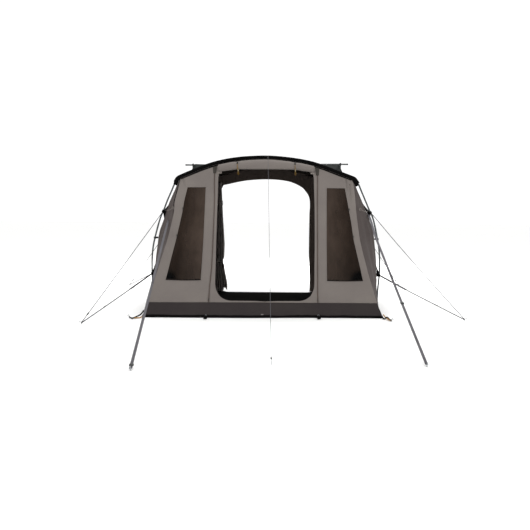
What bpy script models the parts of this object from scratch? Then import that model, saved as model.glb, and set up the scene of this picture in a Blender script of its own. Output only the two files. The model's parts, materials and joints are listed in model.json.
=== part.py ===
"""A drive-away van awning: a fabric tent on two pole arches, with a leaning front face, a connection
tunnel behind, and its stays and straps pegged out.

Metres, +Z up, +X to the right of someone facing the front, -Y to the front. The origin is on the
ground, under the middle of the living area's floor."""

import math

import bpy
from mathutils import Vector

# Plan
FLOOR_DEPTH = 2.33
FRONT = -FLOOR_DEPTH / 2
LEAN = 0.75
FRONT_ARCH = FRONT + LEAN
REAR_ARCH = FLOOR_DEPTH / 2
TUNNEL_DEPTH = 0.72
BACK_POLE = REAR_ARCH + TUNNEL_DEPTH
HALF_FRONT = 1.49

# Cloth and gaps
CLOTH = 0.004
GAP = 0.0003
SEAM_GAP = CLOTH + 0.0006
FILM = 0.0018

# Arch poles, by the line through the middle of the tube
POLE_RADIUS = 0.011
ARCH_STEPS = 12
LEG_STEPS = 2
APEX_HEIGHT = 2.083
CROWN_RADIUS = 2.3
CROWN_HALF = 0.8
ROOF_SLOPE = 0.371
EAVE_X = 1.19
LEG_POINTS = (
    (1.205, 1.785),
    (1.235, 1.742),
    (1.315, 1.572),
    (1.400, 1.381),
    (1.445, 1.290),
    (1.487, 1.168),
    (1.535, 0.992),
    (1.568, 0.841),
    (1.584, 0.674),
    (1.586, 0.509),
    (1.582, 0.266),
    (1.575, 0.000),
)
LEG_TOP = 1.70
POINT_APART = 0.01

# Sleeve that holds an arch pole over the roof
SLEEVE_HALF_HEIGHT = 0.0235
SLEEVE_HALF_WIDTH = 0.016
SLEEVE_CLOTH = 0.003
SLEEVE_ABOVE_LEG = 0.025
ROOF_EDGE = 0.012
ROOF_STEPS = 40

# Side wall beside an arch, from the ground to the eave
WALL_POINTS = (
    (1.555, 0.000),
    (1.553, 0.180),
    (1.540, 0.433),
    (1.517, 0.737),
    (1.492, 0.985),
    (1.470, 1.079),
    (1.388, 1.293),
    (1.320, 1.449),
    (1.210, 1.690),
)
SKIRT_HEIGHT = 0.18
FRONT_HEM = 0.0016
SIDE_HEM = 0.0006
WALL_UNDER_ROOF = 1.3 * CLOTH + GAP

# Front face
ZIP_X = 0.705
ZIP_HALF = 0.007
DOOR_HALF = 0.645
DOOR_SILL = 0.21
DOOR_RADIUS = 0.23
HEADER_HEIGHT = 0.125
WINDOW_INNER = 0.822
WINDOW_OUTER_TOP = 1.066
WINDOW_OUTER_FOOT = 1.280
WINDOW_TOP = 1.665
WINDOW_FOOT = 0.453
FILM_BEHIND = 0.001
ZIP_PROUD = 0.001
CUTTER_MARGIN = 0.1

# Rolled-up door and its ties
ROLL_HALF = 0.655
ROLL_LOW = 1.908
ROLL_LOW_END = 1.850
ROLL_FLAT_HALF = 0.399
ROLL_HALF_DEPTH = 0.032
ROLL_BELOW_SLEEVE = 0.014
ROLL_STATIONS = (0.0, 0.1, 0.2, 0.3)
ROLL_END_STATIONS = (0.47, 0.54, 0.61)
ROLL_END_SHARE = 0.55
TIE_X = 0.392
TIE_WIDTH = 0.014
TIE_THICK = 0.005

# Rear wall, its doorway and the curtain tied back beside it
REAR_DOOR_SIDES = (-0.880, 0.745)
REAR_DOOR_TOP = 1.884
REAR_DOOR_SHOULDER = 1.30
REAR_DOOR_ROUNDNESS = 3.2
CURTAIN_LEFT = -0.870
CURTAIN_WAIST_X = -0.797
CURTAIN_WAIST = 0.51
CURTAIN_WAIST_HALF = 0.070
CURTAIN_DEPTH_SHARE = 0.55
CURTAIN_RIGHT = (
    (0.012, -0.655),
    (0.190, -0.660),
    (0.390, -0.700),
    (0.600, -0.712),
    (0.800, -0.706),
    (1.200, -0.724),
    (1.820, -0.745),
)

# Tunnel to the vehicle
TUNNEL_TOP = 2.190
TUNNEL_SHOULDER = 2.055
TUNNEL_HALF_TOP = 1.285
TUNNEL_HALF = 1.345
TUNNEL_FRONT_HALF_FOOT = 1.20
TUNNEL_FRONT_HALF_TOP_INSET = 0.004
TUNNEL_SIDE_BEND = 1.60
TUNNEL_STEPS = 16
TUNNEL_ROOF_INSET = 0.35 * CLOTH
BACK_POLE_HALF = 1.433
BACK_POLE_RADIUS = 0.0125
KNOB_X = 1.31
KNOB_RADIUS = 0.021
KNOB_HALF = 0.014
KNOB_SLOPE = 0.001
KNOB_CLEAR = 0.004
STRIP_HALF = 1.25
STRIP_HEIGHT = 0.030
STRIP_THICK = 0.003

# Cloth triangles that hold the wall to the poles: foot, top and the height of the pole clip
UPPER_GUSSET = (1.265, 1.405, 1.335)
LOWER_GUSSET = (0.395, 0.565, 0.480)
GUSSET_HALF_THICK = 0.006
GUSSET_HALF_NOSE = 0.014
SLOPE_SPAN = 0.02

# Stays: where each is pegged, as X and the distance behind the front edge
FRONT_PEGS = {"left": (-2.168, -0.53), "right": (2.50, -0.13)}
REAR_PEGS = {"left": (-2.456, 2.95), "right": (2.436, 3.13)}
STORM_PEGS = {"left": (-1.078, -2.465), "right": (1.429, -2.235)}
CENTRE_PEG = (0.08, -2.214)
CORD_RADIUS = 0.0025
WEBBING_HALF = 0.010
STORM_HALF = 0.014
WEBBING_HALF_THICK = 0.0014
PEG_RADIUS = 0.006
PEG_HEIGHT = 0.045
LINE_ON_PEG = 0.6 * PEG_HEIGHT
STORM_BELOW_CLIP = 0.025
CENTRE_ABOVE_APEX = 0.006

FLOOR_THICK = 0.006
COLOURS = {
    "taupe": (0.205, 0.178, 0.168),
    "grey": (0.100, 0.096, 0.091),
    "dark": (0.043, 0.036, 0.035),
    "black": (0.004, 0.004, 0.004),
    "charcoal": (0.044, 0.052, 0.049),
    "film": (0.045, 0.031, 0.026),
    "pole": (0.060, 0.068, 0.068),
    "alloy": (0.210, 0.218, 0.218),
    "webbing": (0.160, 0.160, 0.168),
    "cord": (0.190, 0.100, 0.030),
}
SIDES = {"left": -1, "right": 1}


def material(name):
    made = bpy.data.materials.get(name)
    if made is None:
        made = bpy.data.materials.new(name)
        made.use_nodes = True
        shader = made.node_tree.nodes["Principled BSDF"]
        shader.inputs["Base Color"].default_value = (*COLOURS[name], 1)
        shader.inputs["Roughness"].default_value = 0.35 if name == "alloy" else 0.8
        shader.inputs["Metallic"].default_value = 1 if name == "alloy" else 0
    return made


def add_object(name, points, faces, finish, smooth=False):
    mesh = bpy.data.meshes.new(name)
    mesh.from_pydata([tuple(p) for p in points], [], faces)
    mesh.materials.append(material(finish))
    mesh.update()
    obj = bpy.data.objects.new(name, mesh)
    bpy.context.scene.collection.objects.link(obj)
    if smooth:
        mesh.shade_smooth()
        mesh.set_sharp_from_angle(angle=math.radians(40))
    return obj


def combine(obj, other, operation):
    other.hide_render = True
    other.display_type = "WIRE"
    modifier = obj.modifiers.new(other.name, "BOOLEAN")
    modifier.operation = operation
    modifier.object = other


def blend(a, b, t):
    return a + (b - a) * t


def along(points, value, key=1):
    """The other coordinate of a chain of (x, z) points where the keyed one has this value."""
    other = 1 - key
    for a, b in zip(points, points[1:]):
        low, high = sorted((a[key], b[key]))
        if low <= value <= high:
            return blend(a[other], b[other], (value - a[key]) / (b[key] - a[key]))
    raise ValueError("value outside the chain")


def curve_value(p, q, r, s, t):
    """The value between q and r of a Catmull-Rom curve through these four."""
    first, second, third = r - p, 2 * p - 5 * q + 4 * r - s, 3 * q - p - 3 * r + s
    return (2 * q + first * t + second * t**2 + third * t**3) / 2


def smooth_chain(points, steps):
    """Points of a smooth curve through these ones."""
    ends = [points[0], *points, points[-1]]
    made = []
    for four in zip(ends, ends[1:], ends[2:], ends[3:]):
        for k in range(steps):
            made.append(tuple(curve_value(*values, k / steps) for values in zip(*four)))
    return [*made, points[-1]]


def roof_line(x, drop=0.0):
    """Height over x of the arch pole's middle line, or of a line that runs this far below it."""
    x = abs(x)
    crown = CROWN_RADIUS - drop
    if x <= CROWN_HALF * crown / CROWN_RADIUS:
        return APEX_HEIGHT - CROWN_RADIUS + math.sqrt(crown**2 - x**2)
    level = APEX_HEIGHT - CROWN_RADIUS + math.sqrt(CROWN_RADIUS**2 - CROWN_HALF**2)
    return level - (x - CROWN_HALF) * ROOF_SLOPE - drop * math.hypot(1, ROOF_SLOPE)


ROOF_DROP = SLEEVE_HALF_HEIGHT + 3 * GAP
UNDER_ROOF = ROOF_DROP + CLOTH + 2 * GAP


def eave_corner():
    """Where the side wall's line meets the roof's, as (x, z)."""
    (x0, z0), (x1, z1) = WALL_POINTS[-2:]
    low, high = 0.9, 1.3
    for _ in range(60):
        x = (low + high) / 2
        wall = z1 + (x - x1) * (z1 - z0) / (x1 - x0)
        low, high = (x, high) if wall > roof_line(x, ROOF_DROP) else (low, x)
    return x, roof_line(x, ROOF_DROP)


EAVE = eave_corner()
WALL_LINE = (*WALL_POINTS, EAVE)
LEG_LINE = smooth_chain(LEG_POINTS, LEG_STEPS)


def arch_points(y, low):
    """The pole's middle line from its left end at this height, over the apex, to its right end."""
    crown = [(x, roof_line(x)) for x in (EAVE_X * k / ARCH_STEPS for k in range(ARCH_STEPS + 1))]
    upper = [p for p in LEG_LINE if p[1] > low + POINT_APART]
    right = [*crown, *upper, (along(LEG_LINE, low), low)]
    left = [(-x, z) for x, z in reversed(right[1:])]
    return [Vector((x, y, z)) for x, z in (*left, *right)]


def frames(path, reference, upright=False):
    """At each point of a path, its place and the two directions across it, or two level ones."""
    if upright:
        return [(place, Vector((1, 0, 0)), Vector((0, 1, 0))) for place in path]
    made = []
    for i, place in enumerate(path):
        before = (place - path[i - 1]).normalized() if i else None
        after = (path[i + 1] - place).normalized() if i + 1 < len(path) else None
        tangent = ((before or after) + (after or before)).normalized()
        side = reference.cross(tangent).normalized()
        made.append((place, side, tangent.cross(side)))
    return made


def ring(frame, half_side, half_up, count):
    place, side, up = frame
    square = count == 4
    if square:
        half_side, half_up = half_side * math.sqrt(2), half_up * math.sqrt(2)
    turns = [math.tau * (k + square / 2) / count for k in range(count)]
    return [place + side * half_side * math.cos(a) + up * half_up * math.sin(a) for a in turns]


def skin(rings, inward=False):
    """Faces that join each ring of points to the next, as rows of indices."""
    count = len(rings[0])
    faces = []
    for i in range(len(rings) - 1):
        for k in range(count):
            a, b = i * count + k, i * count + (k + 1) % count
            faces.append((a, b, b + count, a + count))
    return [tuple(reversed(f)) for f in faces] if inward else faces


def bar(name, path, sizes, finish, reference=(0, 1, 0), count=12, upright=False):
    """A solid bar along a path, with one pair of half sizes or a pair for each point."""
    sections = frames(path, Vector(reference), upright)
    if not isinstance(sizes[0], (tuple, list)):
        sizes = [sizes] * len(sections)
    rings = [ring(s, a, b, count) for s, (a, b) in zip(sections, sizes)]
    last = (len(rings) - 1) * count
    faces = [*skin(rings), tuple(reversed(range(count))), tuple(range(last, last + count))]
    return add_object(name, sum(rings, []), faces, finish, smooth=count > 4)


def hose(name, path, half_side, half_up, wall, finish, count=12):
    """A hollow sleeve along a path, open at both ends."""
    sections = frames(path, Vector((0, 1, 0)))
    outer = [ring(s, half_side, half_up, count) for s in sections]
    inner = [ring(s, half_side - wall, half_up - wall, count) for s in sections]
    shift = len(outer) * count
    faces = skin(outer) + [tuple(i + shift for i in f) for f in skin(inner, inward=True)]
    for start in (0, shift - count):
        for k in range(count):
            a, b = start + k, start + (k + 1) % count
            rim = (b, a, a + shift, b + shift)
            faces.append(rim if start == 0 else tuple(reversed(rim)))
    return add_object(name, sum(outer + inner, []), faces, finish, smooth=True)


def cloth(name, rows, finish, thick=CLOTH, middle=(0, 0, 1.0)):
    """A sheet over a grid of points, given its thickness on the side of the tent's middle."""
    across = len(rows[0])
    index, ids = {}, []
    for row in rows:
        spots = [tuple(round(c, 6) for c in p) for p in row]
        ids.append([index.setdefault(spot, len(index)) for spot in spots])
    points = list(index)
    faces = []
    for i in range(len(rows) - 1):
        for k in range(across - 1):
            corners = (ids[i][k], ids[i][k + 1], ids[i + 1][k + 1], ids[i + 1][k])
            faces.append(tuple(dict.fromkeys(corners)))
    outward = 0
    for face in faces:
        a, b, c = (Vector(points[n]) for n in face[:3])
        outward += (b - a).cross(c - a).dot(a - Vector(middle))
    if outward < 0:
        faces = [tuple(reversed(face)) for face in faces]
    obj = add_object(name, points, faces, finish)
    solidify = obj.modifiers.new("thickness", "SOLIDIFY")
    solidify.thickness = thick
    solidify.offset = -1
    solidify.use_even_offset = True
    return obj


def plate(name, outline, back, front, finish):
    """A flat plate with this (x, z) outline, between two distances along Y."""
    count = len(outline)
    area = sum(a[0] * b[1] - b[0] * a[1] for a, b in zip(outline, [*outline[1:], outline[0]]))
    outline = outline if area > 0 else list(reversed(outline))
    points = [(x, front, z) for x, z in outline] + [(x, back, z) for x, z in outline]
    faces = [tuple(range(count)), tuple(reversed(range(count, 2 * count)))]
    for k in range(count):
        j = (k + 1) % count
        faces.append((j, k, k + count, j + count))
    return add_object(name, points, faces, finish)


def face_behind(x, z):
    """How far the leaning front face is behind its foot at this place."""
    across = abs(x) / HALF_FRONT
    for _ in range(30):
        rise = z / roof_line(across * EAVE[0], ROOF_DROP)
        across = abs(x) / blend(HALF_FRONT, EAVE[0], rise)
    return LEAN * rise


def on_face(x, z, out=0.0):
    return (x, FRONT + face_behind(x, z) - out, z)


def seam_x(z):
    return blend(HALF_FRONT, EAVE[0], z / EAVE[1])


def face_grid(low_edges, high_edges, low, high, across, up, out=0.0):
    """Points on the front face between two levels; high may be a line over x."""
    rows = []
    for j in range(up + 1):
        row = []
        for i in range(across + 1):
            x0 = blend(*low_edges, i / across)
            x1 = blend(*high_edges, i / across)
            top = high(x1) if callable(high) else high
            x, z = blend(x0, x1, j / up), blend(low, top, j / up)
            row.append(on_face(x, z, out))
        rows.append(row)
    return rows


def face_top(x):
    return roof_line(x, UNDER_ROOF)


def make_poles():
    for end, y in (("front", FRONT_ARCH), ("rear", REAR_ARCH)):
        bow = arch_points(y, LEG_TOP)
        bar(f"{end}_roof_bow", bow, (POLE_RADIUS, POLE_RADIUS), "pole")
        top = LEG_TOP - GAP
        leg = [(along(LEG_LINE, top), top), *(p for p in LEG_LINE if p[1] < top - POINT_APART)]
        for side, sign in SIDES.items():
            path = [Vector((sign * x, y, z)) for x, z in leg]
            bar(f"{end}_leg_{side}", path, (POLE_RADIUS, POLE_RADIUS), "pole")
        sleeve = arch_points(y, LEG_TOP + SLEEVE_ABOVE_LEG)
        hose(f"{end}_pole_sleeve", sleeve, SLEEVE_HALF_HEIGHT, SLEEVE_HALF_WIDTH, SLEEVE_CLOTH, "black")


def make_roof():
    xs = [EAVE[0] * (2 * k / ROOF_STEPS - 1) for k in range(ROOF_STEPS + 1)]
    ends = FRONT_ARCH - ROOF_EDGE, REAR_ARCH + ROOF_EDGE
    cloth("roof_panel", [[(x, y, roof_line(x, ROOF_DROP)) for x in xs] for y in ends], "grey")


def wall_grid(sign, low, high):
    """Points of a side wall between two levels, from the front seam past both arches."""
    drop = WALL_UNDER_ROOF if high >= EAVE[1] else 0.0
    levels = [low, *(z for _, z in WALL_LINE if low < z < high), high - drop]
    rows = []
    for z in levels:
        x = along(WALL_LINE, z)
        seam = seam_x(z), FRONT + LEAN * z / EAVE[1], z
        row = [seam, (x, FRONT_ARCH, z), (x, REAR_ARCH + CLOTH, z)]
        rows.append([(sign * px, py, pz) for px, py, pz in row])
    return rows


def make_sides():
    for side, sign in SIDES.items():
        cloth(f"side_wall_{side}", wall_grid(sign, SKIRT_HEIGHT + GAP, EAVE[1]), "grey")
        cloth(f"side_skirt_{side}", wall_grid(sign, SIDE_HEM, SKIRT_HEIGHT), "dark")


def window_corners(inset=0.0):
    return (
        (WINDOW_INNER + inset, WINDOW_FOOT + inset),
        (WINDOW_OUTER_FOOT - inset, WINDOW_FOOT + inset),
        (WINDOW_OUTER_TOP - inset, WINDOW_TOP - inset),
        (WINDOW_INNER + inset, WINDOW_TOP - inset),
    )


def cut_opening(panel, outline):
    """Cut an opening with this (x, z) outline through the leaning front."""
    name = f"{panel.name}_cutter"
    cutter = plate(name, outline, FRONT + LEAN + CUTTER_MARGIN, FRONT - CUTTER_MARGIN, "film")
    combine(panel, cutter, "DIFFERENCE")


def make_front():
    low = SKIRT_HEIGHT + 2 * GAP
    foot, top = seam_x(low) - SEAM_GAP, EAVE[0] - SEAM_GAP
    for side, sign in SIDES.items():
        inner = sign * (ZIP_X + ZIP_HALF)
        grid = face_grid((inner, sign * foot), (inner, sign * top), low, face_top, 6, 10)
        panel = cloth(f"front_panel_{side}", grid, "taupe")
        cut_opening(panel, [(sign * x, z) for x, z in window_corners()])
        (x0, z0), (x1, _), (x2, z2), (x3, _) = window_corners(FILM / 2)
        film = face_grid((sign * x0, sign * x1), (sign * x3, sign * x2), z0, z2, 4, 8, -FILM_BEHIND)
        cloth(f"window_film_{side}", film, "film", FILM)
        edges = sign * (ZIP_X - ZIP_HALF + GAP), sign * (ZIP_X + ZIP_HALF - GAP)
        tape = face_grid(edges, edges, low, face_top, 1, 10, ZIP_PROUD)
        cloth(f"zip_{side}", tape, "dark", CLOTH + ZIP_PROUD)
    edges = ZIP_HALF - ZIP_X, ZIP_X - ZIP_HALF
    surround = cloth("door_surround", face_grid(edges, edges, low, face_top, 16, 10), "taupe")
    cut_opening(surround, door_outline())
    ends = HALF_FRONT - SEAM_GAP, seam_x(SKIRT_HEIGHT) - SEAM_GAP
    skirt = face_grid((-ends[0], ends[0]), (-ends[1], ends[1]), FRONT_HEM, SKIRT_HEIGHT, 24, 1)
    cloth("front_skirt", skirt, "dark")


def door_outline():
    """The front doorway: round lower corners, and a top edge that runs with the roof."""
    turns, tops = 6, 10
    outline = []
    for k in range(turns + 1):
        a = math.pi / 2 * k / turns
        x = DOOR_HALF - DOOR_RADIUS + DOOR_RADIUS * math.sin(a)
        outline.append((x, DOOR_SILL + DOOR_RADIUS - DOOR_RADIUS * math.cos(a)))
    for k in range(tops + 1):
        x = DOOR_HALF * (1 - 2 * k / tops)
        outline.append((x, face_top(x) - HEADER_HEIGHT))
    outline += [(-x, z) for x, z in reversed(outline[: turns + 1])]
    return outline


def roll_section(x):
    """Middle height, half height and place of the rolled-up door at this distance across."""
    top = roof_line(x, ROOF_DROP) - ROLL_BELOW_SLEEVE
    past = max(0.0, abs(x) - ROLL_FLAT_HALF) / (ROLL_HALF - ROLL_FLAT_HALF)
    low = blend(ROLL_LOW, ROLL_LOW_END, past)
    middle = (top + low) / 2
    clear = (ROLL_HALF_DEPTH + TIE_THICK + 3 * GAP) / math.cos(math.atan(LEAN / 2.0))
    return Vector((x, FRONT + face_behind(x, middle) - clear, middle)), (top - low) / 2


def roll_ring(x, grow=0.0, shrink=1.0):
    """Points round the rolled-up door at this distance across, or this far outside it."""
    count = 16
    lean = Vector((0, LEAN, 2.0)).normalized()
    out = Vector((0, -lean.z, lean.y))
    place, half = roll_section(x)
    up, deep = half * shrink + grow, ROLL_HALF_DEPTH * shrink + grow
    turns = [math.tau * k / count for k in range(count)]
    return [place + lean * up * math.cos(a) + out * deep * math.sin(a) for a in turns]


def make_roll():
    tie_edges = (TIE_X - TIE_WIDTH / 2, TIE_X + TIE_WIDTH / 2)
    right = [*ROLL_STATIONS, *tie_edges, *ROLL_END_STATIONS]
    stations = [-x for x in reversed(right[1:])] + right
    ends = [roll_ring(sign * ROLL_HALF, shrink=ROLL_END_SHARE) for sign in SIDES.values()]
    rings = [ends[0], *(roll_ring(x) for x in stations), ends[1]]
    count = len(rings[0])
    last = (len(rings) - 1) * count
    faces = [*skin(rings), tuple(reversed(range(count))), tuple(range(last, last + count))]
    add_object("door_roll", sum(rings, []), faces, "taupe", smooth=True)
    for side, sign in SIDES.items():
        near, far = sorted(sign * x for x in tie_edges)
        outside, inside = TIE_THICK + 2 * GAP, 2 * GAP
        corners = (near, outside), (far, outside), (far, inside), (near, inside)
        rings = [roll_ring(x, grow) for x, grow in corners]
        faces = skin(rings)
        for k in range(count):
            j = (k + 1) % count
            faces.append((3 * count + k, 3 * count + j, j, k))
        add_object(f"door_tie_{side}", sum(rings, []), faces, "cord")


def make_rear():
    inner = [(along(WALL_LINE, z) - SEAM_GAP, z) for _, z in WALL_LINE if z < EAVE[1]]
    side_edge = [(inner[0][0], FLOOR_THICK + GAP), *inner[1:]]
    top = EAVE[0] - SEAM_GAP
    side_edge.append((top, roof_line(top, UNDER_ROOF)))
    back, front = REAR_ARCH + CLOTH / 2, REAR_ARCH - CLOTH / 2
    tops = 8
    for (side, sign), door in zip(SIDES.items(), REAR_DOOR_SIDES):
        outline = [*side_edge]
        split = abs(door) + GAP
        for k in range(1, tops + 1):
            x = blend(top, split, k / tops)
            outline.append((x, roof_line(x, UNDER_ROOF)))
        outline.append((split, FLOOR_THICK + GAP))
        plate(f"rear_panel_{side}", [(sign * x, z) for x, z in outline], back, front, "grey")
    left, right = REAR_DOOR_SIDES
    middle, half = (left + right) / 2, (right - left) / 2
    rise = REAR_DOOR_TOP - REAR_DOOR_SHOULDER
    upper, lower = [], []
    for k in range(2 * tops + 1):
        x = blend(right, left, k / (2 * tops))
        upper.append((x, roof_line(x, UNDER_ROOF)))
        a = math.pi * k / (2 * tops)
        round_by = 2 / REAR_DOOR_ROUNDNESS
        x = middle - half * math.copysign(abs(math.cos(a)) ** round_by, math.cos(a))
        lower.append((x, REAR_DOOR_SHOULDER + rise * abs(math.sin(a)) ** round_by))
    plate("rear_header", upper + lower, back, front, "grey")


def make_curtain():
    """A door panel gathered to one side of the rear doorway and tied at its waist."""
    face = REAR_ARCH - CLOTH / 2 - GAP
    count = 16
    levels = []
    for z, right in CURTAIN_RIGHT:
        levels.append((z, (CURTAIN_LEFT + right) / 2, (right - CURTAIN_LEFT) / 2))
    for z in (CURTAIN_WAIST - TIE_WIDTH, CURTAIN_WAIST + TIE_WIDTH):
        levels.append((z, CURTAIN_WAIST_X, CURTAIN_WAIST_HALF))
    levels.sort()
    path = [Vector((x, face - half * CURTAIN_DEPTH_SHARE, z)) for z, x, half in levels]
    sizes = [(half, half * CURTAIN_DEPTH_SHARE) for _, _, half in levels]
    bar("rear_curtain", path, sizes, "dark", count=count, upright=True)
    deep = CURTAIN_WAIST_HALF * CURTAIN_DEPTH_SHARE
    ends = CURTAIN_WAIST - TIE_WIDTH / 2, CURTAIN_WAIST + TIE_WIDTH / 2
    path = [Vector((CURTAIN_WAIST_X, face - deep, z)) for z in ends]
    grow = TIE_THICK + 2 * GAP
    hose("curtain_tie", path, CURTAIN_WAIST_HALF + grow, deep + grow, TIE_THICK, "black", count)


def tunnel_rear_edge(y):
    """The tunnel roof's rear edge: along the cross pole, then down to a shoulder at each end."""
    inner = TUNNEL_STEPS - 2
    xs = [TUNNEL_HALF_TOP * (2 * k / inner - 1) for k in range(inner + 1)]
    edge = [(x, BACK_POLE - BACK_POLE_RADIUS - TUNNEL_ROOF_INSET, TUNNEL_TOP) for x in xs]
    edge[0], edge[-1] = (-TUNNEL_HALF_TOP, y, TUNNEL_TOP), (TUNNEL_HALF_TOP, y, TUNNEL_TOP)
    return [(-TUNNEL_HALF, y, TUNNEL_SHOULDER), *edge, (TUNNEL_HALF, y, TUNNEL_SHOULDER)]


def make_tunnel():
    front = REAR_ARCH + SLEEVE_HALF_WIDTH + GAP
    back = BACK_POLE - KNOB_RADIUS - KNOB_CLEAR
    inside = (0, BACK_POLE - TUNNEL_DEPTH / 2, 1.0)
    front_half = EAVE[0] - TUNNEL_FRONT_HALF_TOP_INSET
    xs = [front_half * (2 * k / TUNNEL_STEPS - 1) for k in range(TUNNEL_STEPS + 1)]
    rows = [[(x, front, roof_line(x)) for x in xs], tunnel_rear_edge(back)]
    cloth("tunnel_roof", rows, "charcoal", middle=inside)
    under = CLOTH + GAP
    panel = REAR_ARCH + CLOTH / 2 + GAP
    front_top, back_top = roof_line(front_half) - 1.1 * under, TUNNEL_SHOULDER - 1.2 * under
    levels = (
        ((TUNNEL_FRONT_HALF_FOOT, panel, 0.0), (TUNNEL_HALF, back, 0.0)),
        ((TUNNEL_FRONT_HALF_FOOT, panel, TUNNEL_SIDE_BEND), (TUNNEL_HALF, back, TUNNEL_SIDE_BEND)),
        ((front_half, front, front_top), (TUNNEL_HALF, back, back_top)),
    )
    for side, sign in SIDES.items():
        rows = [[(sign * x, y, z) for x, y, z in level] for level in levels]
        cloth(f"tunnel_side_{side}", rows, "charcoal", middle=inside)
        upright = [Vector((sign * KNOB_X, BACK_POLE, z)) for z in (0.0, TUNNEL_TOP - KNOB_RADIUS - GAP)]
        bar(f"tunnel_upright_{side}", upright, (BACK_POLE_RADIUS, BACK_POLE_RADIUS), "pole")
    make_back_pole()


def make_back_pole():
    """The cross pole with a knob near each end, and the strip behind it for the vehicle's rail."""
    stations = [
        (BACK_POLE_HALF, BACK_POLE_RADIUS),
        (KNOB_X + KNOB_HALF + KNOB_SLOPE, BACK_POLE_RADIUS),
        (KNOB_X + KNOB_HALF, KNOB_RADIUS),
        (KNOB_X - KNOB_HALF, KNOB_RADIUS),
        (KNOB_X - KNOB_HALF - KNOB_SLOPE, BACK_POLE_RADIUS),
    ]
    stations = [(-x, r) for x, r in stations] + list(reversed(stations))
    path = [Vector((x, BACK_POLE, TUNNEL_TOP)) for x, _ in stations]
    bar("tunnel_cross_pole", path, [(r, r) for _, r in stations], "alloy")
    y = BACK_POLE + BACK_POLE_RADIUS + GAP
    low, high = TUNNEL_TOP - STRIP_HEIGHT / 2, TUNNEL_TOP + STRIP_HEIGHT / 2
    outline = [(-STRIP_HALF, low), (STRIP_HALF, low), (STRIP_HALF, high), (-STRIP_HALF, high)]
    plate("rail_strip", outline, y + STRIP_THICK, y, "charcoal")


def gusset_outline(foot, top, clip):
    """A cloth triangle from the wall, between foot and top, to the pole at the height of its clip."""
    heights = [foot, *(z for _, z in WALL_LINE if foot < z < top), top]
    outline = [(along(WALL_LINE, z) + 2 * GAP, z) for z in heights]
    for z in (clip + GUSSET_HALF_NOSE, clip - GUSSET_HALF_NOSE):
        rise = along(LEG_LINE, z - SLOPE_SPAN) - along(LEG_LINE, z + SLOPE_SPAN)
        reach = POLE_RADIUS * math.hypot(1, rise / (2 * SLOPE_SPAN)) + 2 * GAP
        outline.append((along(LEG_LINE, z) - reach, z))
    return outline


def make_gussets():
    for end, y in (("front", FRONT_ARCH), ("rear", REAR_ARCH)):
        back, front = y + GUSSET_HALF_THICK, y - GUSSET_HALF_THICK
        for level, sizes in (("upper", UPPER_GUSSET), ("lower", LOWER_GUSSET)):
            for side, sign in SIDES.items():
                outline = [(sign * x, z) for x, z in gusset_outline(*sizes)]
                plate(f"{end}_{level}_gusset_{side}", outline, back, front, "black")


def make_floor():
    inset = SEAM_GAP + 3 * GAP
    side = WALL_POINTS[0][0] - inset
    front = seam_x(FLOOR_THICK) - inset
    steepest = math.atan(LEAN / EAVE[1])
    foot = FRONT + CLOTH / math.cos(steepest) + FLOOR_THICK * math.tan(steepest) + GAP
    plan = [(-front, foot), (front, foot), (side, FRONT_ARCH)]
    plan += [(side, REAR_ARCH + CLOTH / 2), (-side, REAR_ARCH + CLOTH / 2), (-side, FRONT_ARCH)]
    count = len(plan)
    points = [(x, y, 0) for x, y in plan] + [(x, y, FLOOR_THICK) for x, y in plan]
    faces = [tuple(reversed(range(count))), tuple(range(count, 2 * count))]
    for k in range(count):
        j = (k + 1) % count
        faces.append((k, j, j + count, k + count))
    add_object("groundsheet", points, faces, "dark")


def peg(name, place):
    path = [Vector((place[0], FRONT + place[1], z)) for z in (0.0, PEG_HEIGHT)]
    return bar(name, path, (PEG_RADIUS, PEG_RADIUS), "webbing", count=8)


def clear_of_leg(axis, heading, half, half_thick):
    """How far along its heading a line's end lies when it just clears the pole that it is clipped to."""
    across = Vector((0, 0, 1)).cross(heading).normalized()
    up = heading.cross(across)
    corners = [across * half * a + up * half_thick * b for a in (-1, -0.5, 0, 0.5, 1) for b in (-1, 1)]
    reach = POLE_RADIUS
    while True:
        spots = [heading * reach + corner for corner in corners]
        if min((s - axis * s.dot(axis)).length for s in spots) > POLE_RADIUS + GAP / 2:
            return reach
        reach += GAP / 3


def stay(name, start, place, half, half_thick, axis=None):
    """A taut line from its clip down to its peg; a clip on a pole gives the pole's axis there."""
    end = Vector((place[0], FRONT + place[1], LINE_ON_PEG))
    heading = (end - start).normalized()
    if axis:
        clear = clear_of_leg(axis, heading, half, half_thick)
    else:
        clear = (half_thick * abs(heading.z) + half * abs(heading.x) + GAP) / abs(heading.y)
    count = 8 if half == half_thick else 4
    path = [start + heading * clear, end]
    return bar(name, path, (half, half_thick), "webbing", reference=(0, 0, 1), count=count)


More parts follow.
